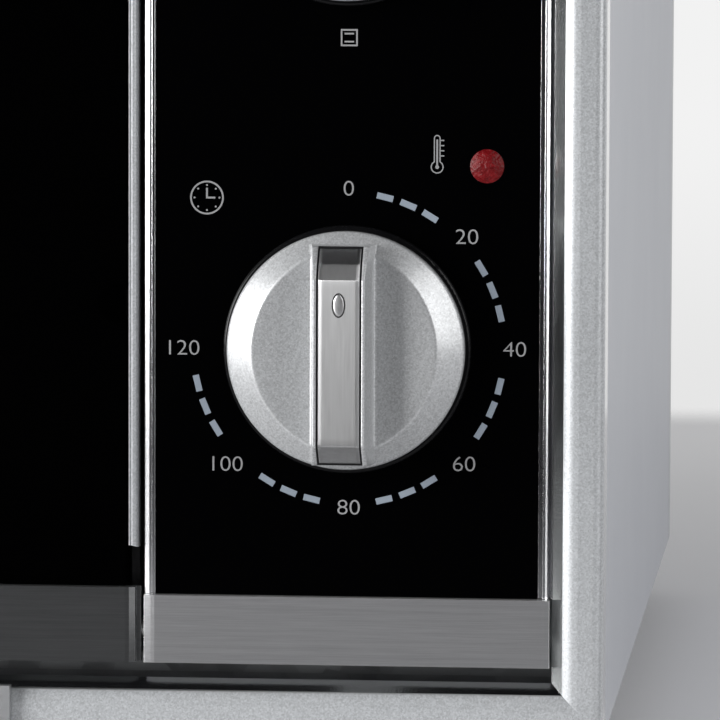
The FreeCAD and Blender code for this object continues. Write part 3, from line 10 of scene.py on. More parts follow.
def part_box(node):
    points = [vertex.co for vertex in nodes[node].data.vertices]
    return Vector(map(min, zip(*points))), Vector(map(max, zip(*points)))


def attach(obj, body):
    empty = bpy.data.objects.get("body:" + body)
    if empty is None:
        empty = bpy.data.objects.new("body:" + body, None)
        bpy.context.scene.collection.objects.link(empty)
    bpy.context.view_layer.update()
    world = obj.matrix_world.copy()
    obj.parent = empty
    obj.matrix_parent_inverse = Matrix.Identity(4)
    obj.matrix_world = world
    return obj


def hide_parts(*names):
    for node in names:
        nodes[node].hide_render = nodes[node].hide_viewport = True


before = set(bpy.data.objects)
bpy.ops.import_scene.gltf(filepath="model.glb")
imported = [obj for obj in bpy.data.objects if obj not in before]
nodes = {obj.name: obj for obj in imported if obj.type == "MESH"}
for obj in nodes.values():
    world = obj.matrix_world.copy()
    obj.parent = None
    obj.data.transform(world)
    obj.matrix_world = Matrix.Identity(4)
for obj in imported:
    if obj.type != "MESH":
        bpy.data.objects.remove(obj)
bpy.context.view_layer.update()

MM = 0.001

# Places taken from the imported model, in metres
panel_low, panel_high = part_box("panel_glass")
knob_low, knob_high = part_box("timer_knob_cap")
face_y = panel_low.y
knob_x = (knob_low.x + knob_high.x) / 2
knob_names = ("timer", "function", "temperature")


def knob_height(name):
    low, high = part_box(name + "_knob_cap")
    return (low.z + high.z) / 2


knob_z = knob_height("timer")


class Tree:
    """The nodes of one material or of the world."""

    def __init__(self, owner):
        owner.use_nodes = True
        self.tree = owner.node_tree
        self.tree.nodes.clear()

    def add(self, kind, **settings):
        node = self.tree.nodes.new(kind)
        for key, value in settings.items():
            setattr(node, key, value)
        return node

    def link(self, source, target):
        self.tree.links.new(source, target)

    def feed(self, value, socket):
        """Gives a socket a number, a colour or another node's output."""
        if isinstance(value, tuple):
            socket.default_value = (*value, 1.0)
        elif isinstance(value, float):
            socket.default_value = value
        else:
            self.link(value, socket)

    def split(self, vector):
        node = self.add("ShaderNodeSeparateXYZ")
        self.link(vector, node.inputs[0])
        return node.outputs

    def between(self, factor, low, high, from_low=0.0, from_high=1.0, **settings):
        node = self.add("ShaderNodeMapRange", **settings)
        node.inputs["From Min"].default_value = from_low
        node.inputs["From Max"].default_value = from_high
        node.inputs["To Min"].default_value = low
        node.inputs["To Max"].default_value = high
        self.link(factor, node.inputs["Value"])
        return node.outputs["Result"]

    def fade(self, value, start, end, first=0.0, last=1.0):
        """A soft step from first, where the value is start, to last, where it is end."""
        return self.between(value, first, last, start, end, interpolation_type="SMOOTHSTEP")

    def combined(self, first, second, operation="ADD"):
        node = self.add("ShaderNodeMath", operation=operation)
        self.link(first, node.inputs[0])
        self.feed(second, node.inputs[1])
        return node.outputs[0]

    def product(self, first, second):
        return self.combined(first, second, "MULTIPLY")

    def mixed(self, factor, first, second):
        """Colours, from the first to the second as the factor goes from 0 to 1."""
        node = self.add("ShaderNodeMix", data_type="RGBA")
        self.link(factor, node.inputs["Factor"])
        self.feed(first, node.inputs[6])
        self.feed(second, node.inputs[7])
        return node.outputs[2]

    def blended(self, factor, first, second):
        """The same for plain numbers."""
        node = self.add("ShaderNodeMix")
        self.link(factor, node.inputs["Factor"])
        self.feed(first, node.inputs["A"])
        self.feed(second, node.inputs["B"])
        return node.outputs["Result"]


class Finish(Tree):
    """One procedural material, its textures laid out in the piece's own space, in metres."""

    def __init__(self, name, colour, metallic=0.0, roughness=0.5):
        self.material = bpy.data.materials.new(name)
        super().__init__(self.material)
        self.shader = self.add("ShaderNodeBsdfPrincipled")
        output = self.add("ShaderNodeOutputMaterial")
        self.link(self.shader.outputs["BSDF"], output.inputs["Surface"])
        self.places = self.add("ShaderNodeTexCoord").outputs
        self.place = self.places["Object"]
        self.colour = colour
        self.set("Base Color", (*colour, 1.0))
        self.set("Metallic", metallic)
        self.set("Roughness", roughness)

    def set(self, socket, value):
        self.shader.inputs[socket].default_value = value

    def stretched(self, scales):
        mapping = self.add("ShaderNodeMapping")
        mapping.inputs["Scale"].default_value = scales
        self.link(self.place, mapping.inputs["Vector"])
        return mapping.outputs["Vector"]

    def noise(self, scale, detail=2.0, stretch=None, rough=0.5):
        node = self.add("ShaderNodeTexNoise")
        node.inputs["Scale"].default_value = scale
        node.inputs["Detail"].default_value = detail
        node.inputs["Roughness"].default_value = rough
        self.link(self.stretched(stretch) if stretch else self.place, node.inputs["Vector"])
        return node.outputs["Fac"]

    def cells(self, scale, output="Distance"):
        node = self.add("ShaderNodeTexVoronoi")
        node.inputs["Scale"].default_value = scale
        self.link(self.place, node.inputs["Vector"])
        return node.outputs[output]

    def inward(self, low, high):
        """0 to 1 as a face turns from the front toward its piece's middle, seen from the front."""
        turned = self.split(self.places["Normal"])
        middle = self.split(self.places["Generated"])
        parts = []
        for axis in "XZ":
            aside = self.combined(middle[axis], 0.5, "SUBTRACT")
            parts.append(self.product(turned[axis], self.combined(aside, 0.0, "SIGN")))
        return self.between(self.combined(*parts), 0.0, 1.0, -low, -high)

    def shade(self, factor, low, high, from_low=0.0, from_high=1.0):
        """The base colour runs from low to high times itself with the factor."""
        first = tuple(low * c for c in self.colour)
        second = tuple(min(1.0, high * c) for c in self.colour)
        share = self.between(factor, 0.0, 1.0, from_low, from_high)
        self.link(self.mixed(share, first, second), self.shader.inputs["Base Color"])

    def rough(self, factor, low, high, from_low=0.0, from_high=1.0):
        share = self.between(factor, low, high, from_low, from_high)
        self.link(share, self.shader.inputs["Roughness"])

    def bump(self, height, strength, distance):
        node = self.add("ShaderNodeBump")
        node.inputs["Strength"].default_value = strength
        node.inputs["Distance"].default_value = distance
        self.link(height, node.inputs["Height"])
        self.link(node.outputs["Normal"], self.shader.inputs["Normal"])


coat_roughness = 0.14
bevel_roughness = 0.16
bevel_turns = (0.56, 0.65)


def flake_paint(
    name, colour, metallic, roughness, grain, contrast, strength, coat=0.0, bevel=None,
):
    """Silver paint: flakes of slightly different tone under an even, softly mottled coat.

    With a bevel colour, the slope that runs round a frame's opening is bare polished metal, its low
    colour darkening it as painted shade.
    """
    finish = Finish(name, colour, metallic, roughness)
    finish.set("Coat Weight", coat)
    finish.set("Coat Roughness", coat_roughness)
    flakes = finish.cells(grain, "Color")
    fine = finish.noise(grain * 0.6, 2.0)
    mixed = finish.combined(finish.between(flakes, 0.0, 0.5), finish.between(fine, 0.0, 0.5))
    finish.shade(mixed, 1.0 - contrast, 1.0 + contrast, 0.25, 0.75)
    finish.rough(finish.noise(35.0, 3.0), roughness - 0.02, roughness + 0.02, 0.3, 0.7)
    finish.bump(fine, strength, 0.00004)
    if bevel:
        share = finish.inward(*bevel_turns)
        inputs = finish.shader.inputs
        paint = inputs["Base Color"].links[0].from_socket
        gloss = inputs["Roughness"].links[0].from_socket
        finish.link(finish.mixed(share, paint, bevel), inputs["Base Color"])
        finish.link(finish.between(share, metallic, 1.0), inputs["Metallic"])
        finish.link(finish.blended(share, gloss, bevel_roughness), inputs["Roughness"])
    return finish.material


streak_grain = 7800.0
band_grain = 1300.0
streak_shrink = 0.014


def brushed(name, colour, axis, roughness=0.4, contrast=0.07, drawn="RADIAL", stretch=0.75):
    """Steel brushed along one axis: fine streaks, and highlights drawn out across them."""
    finish = Finish(name, colour, 1.0, roughness)
    finish.set("Anisotropic", stretch)
    tangent = finish.add("ShaderNodeTangent", direction_type=drawn)
    if drawn == "RADIAL":
        tangent.axis = "XYZ"[axis]
    else:
        tangent.uv_map = "across"
    finish.link(tangent.outputs["Tangent"], finish.shader.inputs["Tangent"])
    along = [1.0, 1.0, 1.0]
    along[axis] = streak_shrink
    streaks = finish.noise(streak_grain, 3.0, along, 0.6)
    bands = finish.noise(band_grain, 2.0, along)
    mixed = finish.combined(finish.between(streaks, 0.0, 0.6), finish.between(bands, 0.0, 0.4))
    finish.shade(mixed, 1.0 - contrast, 1.0 + contrast, 0.3, 0.7)
    finish.rough(streaks, roughness - 0.04, roughness + 0.05, 0.3, 0.7)
    finish.bump(streaks, 0.1, 0.00001)
    return finish.material


def glass(name, colour, transmission, roughness=0.02, smears=0.02):
    finish = Finish(name, colour, 0.0, roughness)
    finish.set("Transmission Weight", transmission)
    finish.set("IOR", 1.45)
    finish.rough(finish.noise(14.0, 4.0), roughness, roughness + smears, 0.45, 0.75)
    finish.shade(finish.noise(5.0, 2.0), 0.96, 1.03, 0.3, 0.7)
    return finish.material


def speckled(name, colour, speck, roughness):
    """Vitreous enamel with fine pale specks and a soft orange-peel."""
    finish = Finish(name, colour, 0.0, roughness)
    finish.set("Coat Weight", 0.5)
    finish.set("Coat Roughness", 0.1)
    dots = finish.between(finish.cells(420.0), 1.0, 0.0, 0.12, 0.2)
    chosen = finish.between(finish.noise(160.0, 1.0), 0.0, 1.0, 0.5, 0.56)
    share = finish.product(dots, chosen)
    finish.link(finish.mixed(share, colour, speck), finish.shader.inputs["Base Color"])
    finish.bump(finish.noise(260.0, 2.0), 0.2, 0.0002)
    return finish.material


def moulded(name, colour, roughness, grain=2400.0, metallic=0.0, strength=0.18, depth=0.00008):
    """A plain moulded or painted face with a fine grain and slight unevenness."""
    finish = Finish(name, colour, metallic, roughness)
    fine = finish.noise(grain, 3.0)
    finish.shade(finish.noise(45.0, 3.0), 0.9, 1.1, 0.3, 0.7)
    finish.rough(fine, roughness - 0.05, roughness + 0.05, 0.3, 0.7)
    finish.bump(fine, strength, depth)
    return finish.material


def spangled(name, colour, roughness):
    """Zinc-coated sheet: large soft crystals in tone and gloss."""
    finish = Finish(name, colour, 0.85, roughness)
    crystals = finish.cells(170.0, "Color")
    finish.shade(crystals, 0.8, 1.14)
    finish.rough(crystals, roughness - 0.08, roughness + 0.08)
    finish.bump(finish.noise(1500.0, 2.0), 0.1, 0.00005)
    return finish.material


def woven(name, colour):
    finish = Finish(name, colour, 0.0, 0.8)
    threads = finish.add("ShaderNodeTexWave", wave_type="BANDS", bands_direction="DIAGONAL")
    threads.inputs["Scale"].default_value = 240.0
    finish.link(finish.place, threads.inputs["Vector"])
    finish.shade(threads.outputs["Fac"], 0.6, 1.1)
    finish.bump(threads.outputs["Fac"], 0.6, 0.0003)
    return finish.material


# Numbers after the colour: metallic, roughness, grain, contrast, strength of the bump, coat
silver_flake = flake_paint("silver_flake", (0.49, 0.505, 0.52), 0.4, 0.42, 3500.0, 0.2, 0.3, 1.0)
frame_flake = flake_paint(
    "frame_flake", (0.53, 0.545, 0.56), 0.4, 0.42, 3500.0, 0.2, 0.3, 1.0,
    # The bevel colour is set low to darken the slope round the opening: painted shade
    bevel=(0.45, 0.465, 0.465),
)
silver_satin = flake_paint("silver_satin", (0.495, 0.51, 0.547), 0.0, 0.45, 5200.0, 0.03, 0.05)
knob_silver = flake_paint(
    "knob_silver_paint", (0.6, 0.61, 0.62), 0.52, 0.38, 3600.0, 0.21, 0.25, 0.6
)
# Axis it is brushed along, roughness, contrast, kind of tangent, how far highlights stretch
brushed_across = brushed("brushed_across", (0.8, 0.8, 0.81), 0, 0.4, 0.13)
# A darkened copy of the brushed steel for the door's bottom strip: painted shade
brushed_painted_shade = brushed("brushed_painted_shade", (0.19, 0.194, 0.197), 0, 0.4, 0.18)
brushed_up = brushed("brushed_up", (0.68, 0.68, 0.685), 2)
brushed_plate = brushed("brushed_plate", (0.585, 0.585, 0.59), 2, 0.4, 0.07, "UV_MAP", 0.9)
# How much light passes, roughness, how much smears roughen it
black_glass = glass("black_glass_panel", (0.0004, 0.0004, 0.0005), 0.0)
tinted_glass = glass("tinted_glass", (0.16, 0.16, 0.17), 1.0)
clear_glass = glass("clear_glass_pane", (0.93, 0.95, 0.94), 0.96)
lamp_glass = glass("lamp_glass_dome", (0.94, 0.94, 0.92), 0.9, 0.12, 0.08)
# Roughness, grain, metallic, strength and depth of the bump
bright_trim = moulded("bright_trim_metal", (0.74, 0.745, 0.76), 0.2, 14.0, 1.0, 0.0)
chrome = moulded("chrome_plate", (0.7, 0.705, 0.715), 0.12, 900.0, 1.0, 0.04)
bright_steel = moulded("bright_zinc", (0.6, 0.6, 0.59), 0.3, 2200.0, 1.0, 0.12)
zinc = spangled("zinc_sheet", (0.52, 0.535, 0.55), 0.4)
bright_sheet = moulded("aluminised_sheet", (0.6, 0.61, 0.62), 0.38, 1900.0, 1.0, 0.06)
grey_enamel = speckled("grey_enamel_coat", (0.085, 0.087, 0.092), (0.5, 0.5, 0.5), 0.32)
black_enamel = speckled("black_enamel_coat", (0.018, 0.018, 0.02), (0.42, 0.42, 0.44), 0.28)
black_paint = moulded("black_paint_coat", (0.006, 0.006, 0.0065), 0.42, 1200.0)
sheath = moulded("element_sheath_metal", (0.17, 0.155, 0.14), 0.48, 700.0, 0.75, 0.3, 0.0001)
ceramic = moulded("ceramic_body", (0.78, 0.75, 0.69), 0.6, 1500.0)
silicone = moulded("silicone_seal", (0.035, 0.035, 0.037), 0.62, 1500.0)
rubber = moulded("rubber_foot", (0.022, 0.022, 0.022), 0.75, 1800.0, 0.0, 0.4)
black_plastic = moulded("black_moulding", (0.014, 0.014, 0.015), 0.42, 2600.0)
black_print = moulded("black_glass_print", (0.001, 0.001, 0.0011), 0.7, 1500.0, 0.0, 0.02)
black_gloss = moulded("black_gloss_moulding", (0.004, 0.004, 0.0045), 0.24, 1500.0, 0.0, 0.03)
dull_specular = 0.2
for dull in (black_gloss, black_print, black_paint):
    shader = dull.node_tree.nodes["Principled BSDF"]
    shader.inputs["Specular IOR Level"].default_value = dull_specular
cream_plastic = moulded("cream_moulding", (0.7, 0.66, 0.55), 0.5, 2200.0)
copper = moulded("drawn_copper", (0.72, 0.4, 0.26), 0.35, 900.0, 1.0)
sleeve = woven("glass_fibre_sleeve", (0.66, 0.64, 0.58))
print_paint = moulded("dial_print", (0.235, 0.275, 0.325), 0.55, 3000.0, 0.0, 0.05)
figure_paint = moulded("dial_figure_print", (0.27, 0.27, 0.275), 0.55, 3000.0, 0.0, 0.05)
# Black for painted shade: the gap round a knob's plate and the groove round its mark
painted_shade_black = moulded("painted_gap_shade", (0.006, 0.006, 0.007), 0.6, 3000.0)
mark_metal = moulded("mark_metal", (0.8, 0.8, 0.81), 0.4, 2200.0, 1.0, 0.05)
red_lens = Finish("red_lens_plastic", (0.155, 0.003, 0.005), 0.0, 0.3)
red_lens.set("Specular IOR Level", 0.25)
red_lens.set("Subsurface Weight", 0.15)
red_lens.set("Subsurface Radius", (0.002, 0.0003, 0.0003))
dimples = red_lens.cells(1300.0, "Color")
red_lens.shade(dimples, 0.6, 1.3)
red_lens.rough(dimples, 0.25, 0.45)
red_lens.bump(red_lens.noise(1100.0, 3.0), 0.9, 0.0005)
red_lens = red_lens.material

node_finishes = {
    silver_flake: ("door_edges", "handle_posts"),
    frame_flake: ("front_frame",),
    silver_satin: ("housing_wrap",),
    zinc: (
        "back_panel", "base_plate", "front_plate", "control_bracket", "element_supports",
        "hinge_arms", "hinge_brackets",
    ),
    brushed_across: ("panel_bottom_strip", "handle_bar"),
    # painted shade: the door strip's steel is darker than the panel strip's
    brushed_painted_shade: ("door_bottom_strip",),
    brushed_up: tuple(name + "_knob_insert" for name in knob_names),
    knob_silver: tuple(name + "_knob_cap" for name in knob_names),
    black_plastic: ("timer_mechanism", "indicator_holder", "cord_gland", "wire_clips"),
    black_gloss: tuple(name + "_knob_core" for name in knob_names),
    bright_steel: tuple(name + "_shaft" for name in knob_names) + (
        "hinge_pins", "door_screws", "back_screws", "timer_bell", "sensor_clips",
    ),
    black_glass: ("panel_glass",),
    tinted_glass: ("door_outer_glass",),
    clear_glass: ("door_inner_glass",),
    lamp_glass: ("oven_lamp_cover", "oven_lamp_bulb"),
    bright_trim: ("panel_side_trims",),
    chrome: ("wire_rack", "rack_guide_left", "rack_guide_right"),
    bright_sheet: ("crumb_tray",),
    grey_enamel: ("cavity_liner",),
    black_enamel: ("baking_tray",),
    black_paint: ("door_frame",),
    sheath: ("top_heating_element", "bottom_heating_element"),
    ceramic: ("element_bushings", "oven_lamp_holder", "thermostat_body"),
    silicone: ("door_seal",),
    rubber: ("feet",),
    cream_plastic: ("function_switch", "terminal_block"),
    copper: ("thermostat_sensor",),
    sleeve: ("wiring_loom",),
    red_lens: ("indicator_lens",),
}
for finish, names in node_finishes.items():
    for name in names:
        mesh = nodes[name].data
        mesh.materials.clear()
        mesh.materials.append(finish)


def put(name, data):
    """A new object in the scene."""
    item = bpy.data.objects.new(name, data)
    bpy.context.scene.collection.objects.link(item)
    return item


def new_piece(name, mesh, body, finish, smooth=True, replaced=(), lift=0.0):
    """A piece, raised by lift in metres, that rides on a body and may stand for CAD nodes."""
    piece = put(name, mesh)
    piece.location.z = lift
    if not mesh.materials:
        mesh.materials.append(finish)
    for polygon in mesh.polygons:
        polygon.use_smooth = smooth
    bpy.context.view_layer.update()
    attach(piece, body)
    if replaced:
        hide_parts(*replaced)
    return piece


merge_distance = 1e-6


def filled_mesh(mesh, build):
    """Merges the points that coincide, turns the faces outward and fills the mesh with them."""
    bmesh.ops.remove_doubles(build, verts=build.verts, dist=merge_distance)
    bmesh.ops.recalc_face_normals(build, faces=build.faces)
    build.to_mesh(mesh)
    build.free()
    return mesh


def mesh_from(name, points, faces):
    mesh = bpy.data.meshes.new(name)
    mesh.from_pydata(points, [], faces)
    build = bmesh.new()
    build.from_mesh(mesh)
    return filled_mesh(mesh, build)


def grid_faces(rows, columns, closed_rows=False, closed_columns=False, start=0):
    faces = []
    for row in range(rows if closed_rows else rows - 1):
        for column in range(columns if closed_columns else columns - 1):
            next_row = (row + 1) % rows
            next_column = (column + 1) % columns
            faces.append((
                start + row * columns + column, start + row * columns + next_column,
                start + next_row * columns + next_column, start + next_row * columns + column,
            ))
    return faces


def on_curve(first, corner, last, t):
    return tuple(first * (1 - t) ** 2 + corner * 2 * t * (1 - t) + last * t ** 2)


def rounded(points, size, steps=4):
    """The open line with its inner corners cut to curves; size is one length or one per corner."""
    line = [points[0]]
    for index in range(1, len(points) - 1):
        corner = Vector(points[index])
        reach = size[index - 1] if isinstance(size, (list, tuple)) else size
        before = Vector(points[index - 1]) - corner
        after = Vector(points[index + 1]) - corner
        first = corner + before.normalized() * min(reach, before.length * 0.49)
        last = corner + after.normalized() * min(reach, after.length * 0.49)
        line += [on_curve(first, corner, last, step / steps) for step in range(steps + 1)]
    line.append(points[-1])
    return line


# Knob: sizes in millimetres, heights measured from the face of the panel glass.
knob_radius = 22.5
rim_low = 3.2
rim_height = 6.0
rim_slope = 0.7
rim_rounds = [0.25, 0.55, 0.45]
rim_thickness = 1.6
rim_draft = 0.1
dish_height = 7.9
dish_slope = 0.093
dish_inner = 3.0
dish_rings = 8
bar_height = 17.0
bar_top_half = 4.87
bar_foot_half = 6.31
bar_foot_height = 5.0
bar_foot_fillet = 0.45
bar_foot_lap = 0.1
bar_foot_sunk = 0.06
bar_top_round = 0.3
bar_rows_apart = 1.2
bar_foot_beyond = 0.12
bar_aside = -0.25
# The bar's two ends differ a little: 1 is the end with the mark
bar_ends = {1: 20.05, -1: 20.95}
bar_bends = {1: ((13.95, 17.0), (17.0, 15.45)), -1: ((17.15, 17.0),)}
bend_rounds = {1: (0.12, 0.3), -1: (0.45,)}
bar_end_heights = {1: 12.7, -1: 13.6}
plate_ends = {1: 19.6, -1: 20.45}
channel_half = 4.28
channel_depth = 0.8
plate_half = 3.87
plate_depth = 0.7
# The black strip under a knob's plate is painted shade: it stands for the shadow in the gap round
# the plate.
gap_shade_play = 0.03
gap_shade_short = 0.04


def body_height(x, z):
    """How high the knob's rim and faces stand under a point."""
    cone = rim_height + rim_slope * (knob_radius - math.hypot(x, z))
    return min(cone, dish_height + dish_slope * abs(x))


def knob_place(x, z, height):
    return Vector((knob_x + x * MM, face_y - height * MM, knob_z + z * MM))


def shell_points(turns=288):
    """The rim, its rounded edges and the two shallow faces, ring by ring."""
    rows = []
    for turn in range(turns):
        angle = 2 * math.pi * turn / turns
        across, along = math.sin(angle), math.cos(angle)
        crease = (rim_height + rim_slope * knob_radius - dish_height) / (
            rim_slope + dish_slope * abs(across)
        )
        top = dish_height + dish_slope * abs(across) * crease
        line = [
            (knob_radius - rim_thickness, rim_low), (knob_radius - rim_draft, rim_low),
            (knob_radius, rim_height), (crease, top),
            (dish_inner, dish_height + dish_slope * abs(across) * dish_inner),
        ]
        line = rounded(line, rim_rounds, 5)
        (x, height), (last_x, last_height) = line[-2:]
        filled = line[:-1] + [
            (x + (last_x - x) * t / dish_rings, height + (last_height - height) * t / dish_rings)
            for t in range(1, dish_rings + 1)
        ]
        rows.append([knob_place(r * across, r * along, height) for r, height in filled])
    return rows


def ridge_line(end, foot=True):
    """The bar's outline from the middle to one end (1 is up), as (along, height) points."""
    points = [(0.0, bar_height), *bar_bends[end], (bar_ends[end], bar_end_heights[end])]
    rounds = list(bend_rounds[end])
    if foot:
        points.append((bar_ends[end] + bar_foot_beyond, bar_foot_height))
        rounds.append(0.35)
    line = rounded(points, rounds, 8)
    filled = []
    for (a, high), (b, low) in zip(line, line[1:]):
        parts = max(1, int(math.hypot(b - a, low - high) / bar_rows_apart))
        filled += [
            (a + (b - a) * i / parts, high + (low - high) * i / parts) for i in range(parts)
        ]
    return filled + [line[-1]]


def ridge_stations(foot=True):
    """The whole outline from the lower end to the upper."""
    lower = [(-along, height) for along, height in reversed(ridge_line(-1, foot)[1:])]
    return lower + ridge_line(1, foot)


def cut_at(stations, low_end, high_end):
    """The outline's part between two places, with a point at each."""
    kept = []
    for (a, high), (b, low) in zip(stations, stations[1:]):
        for limit in (-low_end, high_end):
            if a < limit < b:
                kept.append((limit, high + (low - high) * (limit - a) / (b - a)))
        if -low_end < b < high_end:
            kept.append((b, low))
    return kept


def side_x(height):
    share = (height - bar_foot_height) / (bar_height - bar_foot_height)
    return bar_foot_half + (bar_top_half - bar_foot_half) * share


def bar_profile(along, ridge):
    """Half of the bar's section at one place, from its foot on the face to the middle."""
    foot = body_height(side_x(dish_height), along)
    foot_x = side_x(foot)
    ridge = max(ridge, foot - 0.4)
    fillet = min(bar_foot_fillet, max(0.0, (ridge - foot) * 0.4))
    round_top = min(bar_top_round, max(0.02, (ridge - foot) * 0.2))
    start = foot_x + fillet + bar_foot_lap
    line = [(start, body_height(start, along) - bar_foot_sunk)]
    first = Vector((foot_x + fillet, body_height(foot_x + fillet, along) + 0.004))
    corner = Vector((foot_x, foot))
    last = Vector((side_x(foot + fillet), foot + fillet))
    line += [on_curve(first, corner, last, step / 6) for step in range(7)]
    low = foot + fillet
    high = ridge - round_top
    for step in range(1, 7):
        height = low + (high - low) * step / 6
        line.append((side_x(height), height))
    first = Vector((side_x(high), high))
    corner = Vector((side_x(ridge), ridge))
    last = Vector((side_x(ridge) - round_top * 0.7, ridge))
    line += [on_curve(first, corner, last, step / 5) for step in range(1, 6)]
    floor = max(foot - 0.4, ridge - channel_depth)
    line.append((channel_half + 0.05, ridge))
    line.append((channel_half, ridge - 0.05))
    line.append((channel_half - 0.02, floor))
    line.append((channel_half * 0.5, floor))
    return line


def bar_points():
    rows = []
    for along, ridge in ridge_stations():
        right = bar_profile(abs(along), ridge)
        middle = (0.0, right[-1][1])
        section = right + [middle] + [(-x, height) for x, height in reversed(right)]
        row = []
        for x, height in section:
            limit = math.sqrt(max(0.0, (knob_radius - 0.15) ** 2 - x * x))
            row.append(knob_place(x + bar_aside, max(-limit, min(limit, along)), height))
        rows.append(row)
    return rows


def knob_shell_mesh():
    shell = shell_points()
    bar = bar_points()
    points = [p for row in shell for p in row]
    faces = grid_faces(len(shell), len(shell[0]), closed_rows=True)
    start = len(points)
    points += [p for row in bar for p in row]
    faces += grid_faces(len(bar), len(bar[0]), start=start)
    return mesh_from("knob_shell", points, faces)


def let_in_strip(name, half_width, ends, top, bottom, bevel, droop):
    """A strip that follows the bar's top: top and bottom are depths under it."""
    stations = cut_at(ridge_stations(False), *ends)
    first, last = stations[0], stations[-1]
    stations = [
        first, (first[0] + droop, first[1]), *stations[1:-1], (last[0] - droop, last[1]), last,
    ]
    rows = []
    for index, (along, height) in enumerate(stations):
        lower = droop if index in (0, len(stations) - 1) else 0.0
        wide, deep = bevel
        right = rounded([
            (half_width, -bottom), (half_width, -top - deep),
            (half_width - wide, -top - 0.08 * deep), (half_width - 1.5 * wide, -top), (0.0, -top),
        ], 0.3 * wide, 3)
        loop = right + [(-x, h) for x, h in reversed(right[:-1])]
        rows.append([knob_place(x + bar_aside, along, height + h - lower) for x, h in loop])
    count = len(rows[0])
    points = [p for row in rows for p in row]
    faces = grid_faces(len(rows), count, closed_columns=True)
    faces.append(tuple(range(count)))
    faces.append(tuple(range((len(rows) - 1) * count, len(rows) * count)))
    mesh = mesh_from(name, points, faces)
    layer = mesh.uv_layers.new(name="across")
    for loop in mesh.loops:
        place = mesh.vertices[loop.vertex_index].co
        layer.data[loop.index].uv = ((place.x - knob_x) / MM / 50, (place.z - knob_z) / MM / 50)
    return mesh


mark_up = 9.3
# Rings of the mark's thin black outline, painted shade for the groove round it: long half, short
# half, height over the plate
groove_shade_rings = (
    (2.3, 1.27, -0.05), (2.3, 1.27, 0.012), (2.04, 1.02, 0.012), (2.04, 1.02, -0.05),
)
pad_rings = (
    (2.03, 1.01, -0.05), (2.0, 0.98, 0.03), (1.86, 0.86, 0.09), (1.5, 0.6, 0.13),
    (0.7, 0.25, 0.15),
)


def oval_rings(name, rings, closed, count=48):
    points = []
    for long, short, height in rings:
        for i in range(count):
            turn = 2 * math.pi * i / count
            x, z = bar_aside + short * math.sin(turn), mark_up + long * math.cos(turn)
            points.append(knob_place(x, z, bar_height + height))
    faces = grid_faces(len(rings), count, closed, True)
    if not closed:
        faces.append(tuple(range((len(rings) - 1) * count, len(rings) * count)))
    return mesh_from(name, points, faces)


plate_reach = (plate_ends[-1], plate_ends[1])
gap_shade_reach = (bar_ends[-1] - gap_shade_short, bar_ends[1] - gap_shade_short)
plate_mesh = let_in_strip(
    "knob_plate", plate_half, plate_reach,
    top=0.0, bottom=plate_depth, bevel=(0.6, 0.29), droop=0.12,
)
# A black strip under the plate, seen in the gap round it: painted shade for that gap
gap_shade_mesh = let_in_strip(
    "knob_bed", channel_half - gap_shade_play, gap_shade_reach,
    top=0.6, bottom=0.85, bevel=(0.02, 0.02), droop=0.02,
)
knob_pieces = (
    # name, mesh, finish, slot, the knob's CAD node that it stands for
    ("_knob_shell", knob_shell_mesh(), knob_silver, "knob_silver", "_knob_cap"),
    ("_knob_plate", plate_mesh, brushed_plate, "brushed_steel", "_knob_insert"),
    # painted shade in the gap round the plate
    ("_knob_gap_shade", gap_shade_mesh, painted_shade_black, "black_plastic", None),
    # The mark's black outline is painted shade for its groove
    ("_knob_mark", oval_rings("knob_mark", groove_shade_rings, True), painted_shade_black, None, None),
    ("_knob_pad", oval_rings("knob_pad", pad_rings, False), mark_metal, None, None),
)
for name in knob_names:
    for label, mesh, finish, slot, stood_for in knob_pieces:
        new_piece(
            name + label, mesh, name + "_knob", finish,
            replaced=(name + stood_for,) if stood_for else (), lift=knob_height(name) - knob_z,
        )


# Trims: upright mouldings whose sections are (across, height) in millimetres, across from the
# knobs' axis and height from the face of the glass. Faces that meet at more than sharp_turn
# degrees meet in an edge.
sharp_turn = 40


def upright(name, sections, body, finish, replaced):
    """Each section stands from its foot, which may change across it, to one top."""
    points, faces = [], []
    for section, foot, top in sections:
        start = len(points)
        count = len(section)
        for x, height in section:
            points.append(Vector((knob_x + x * MM, face_y - height * MM, foot(x) * MM)))
        for x, height in section:
            points.append(Vector((knob_x + x * MM, face_y - height * MM, top * MM)))
        faces += grid_faces(2, count, closed_columns=True, start=start)
        faces.append(tuple(range(start, start + count)))
        faces.append(tuple(range(start + count, start + 2 * count)))
    mesh = mesh_from(name, points, faces)
    piece = new_piece(name, mesh, body, finish, replaced=(replaced,))
    edges = piece.modifiers.new("edges", "EDGE_SPLIT")
    edges.split_angle = math.radians(sharp_turn)
    return piece


def level(value):
    return lambda x: value


trim_low, trim_high = (corner / MM for corner in (panel_low.z, panel_high.z))
left_trim = rounded([
    (-38.68, -3.9), (-38.68, 0.1), (-37.76, 0.51), (-37.68, 0.28), (-37.36, 0.28), (-37.3, 0.4),
    (-36.84, 0.4), (-36.8, 0.02), (-36.66, 0.02), (-36.66, -3.9),
], [0.05, 0.08, 0.05, 0.04, 0.05, 0.06, 0.04, 0.04], 4)
right_trim = rounded([
    (36.13, -3.9), (36.13, 0.05), (36.98, 0.05), (37.04, 0.08), (37.22, 0.08), (37.28, -0.08),
    (37.42, -0.08), (37.48, 0.02), (37.9, 0.22), (37.98, 0.1), (38.03, -0.88), (38.76, -0.05),
    (38.76, -3.9),
], [0.04, 0.03, 0.05, 0.05, 0.05, 0.05, 0.03, 0.08, 0.05, 0.05, 0.02], 4)
upright(
    "panel_trims",
    ((left_trim, level(trim_low), trim_high), (right_trim, level(trim_low), trim_high)),
    "chassis", bright_trim, "panel_side_trims",
)

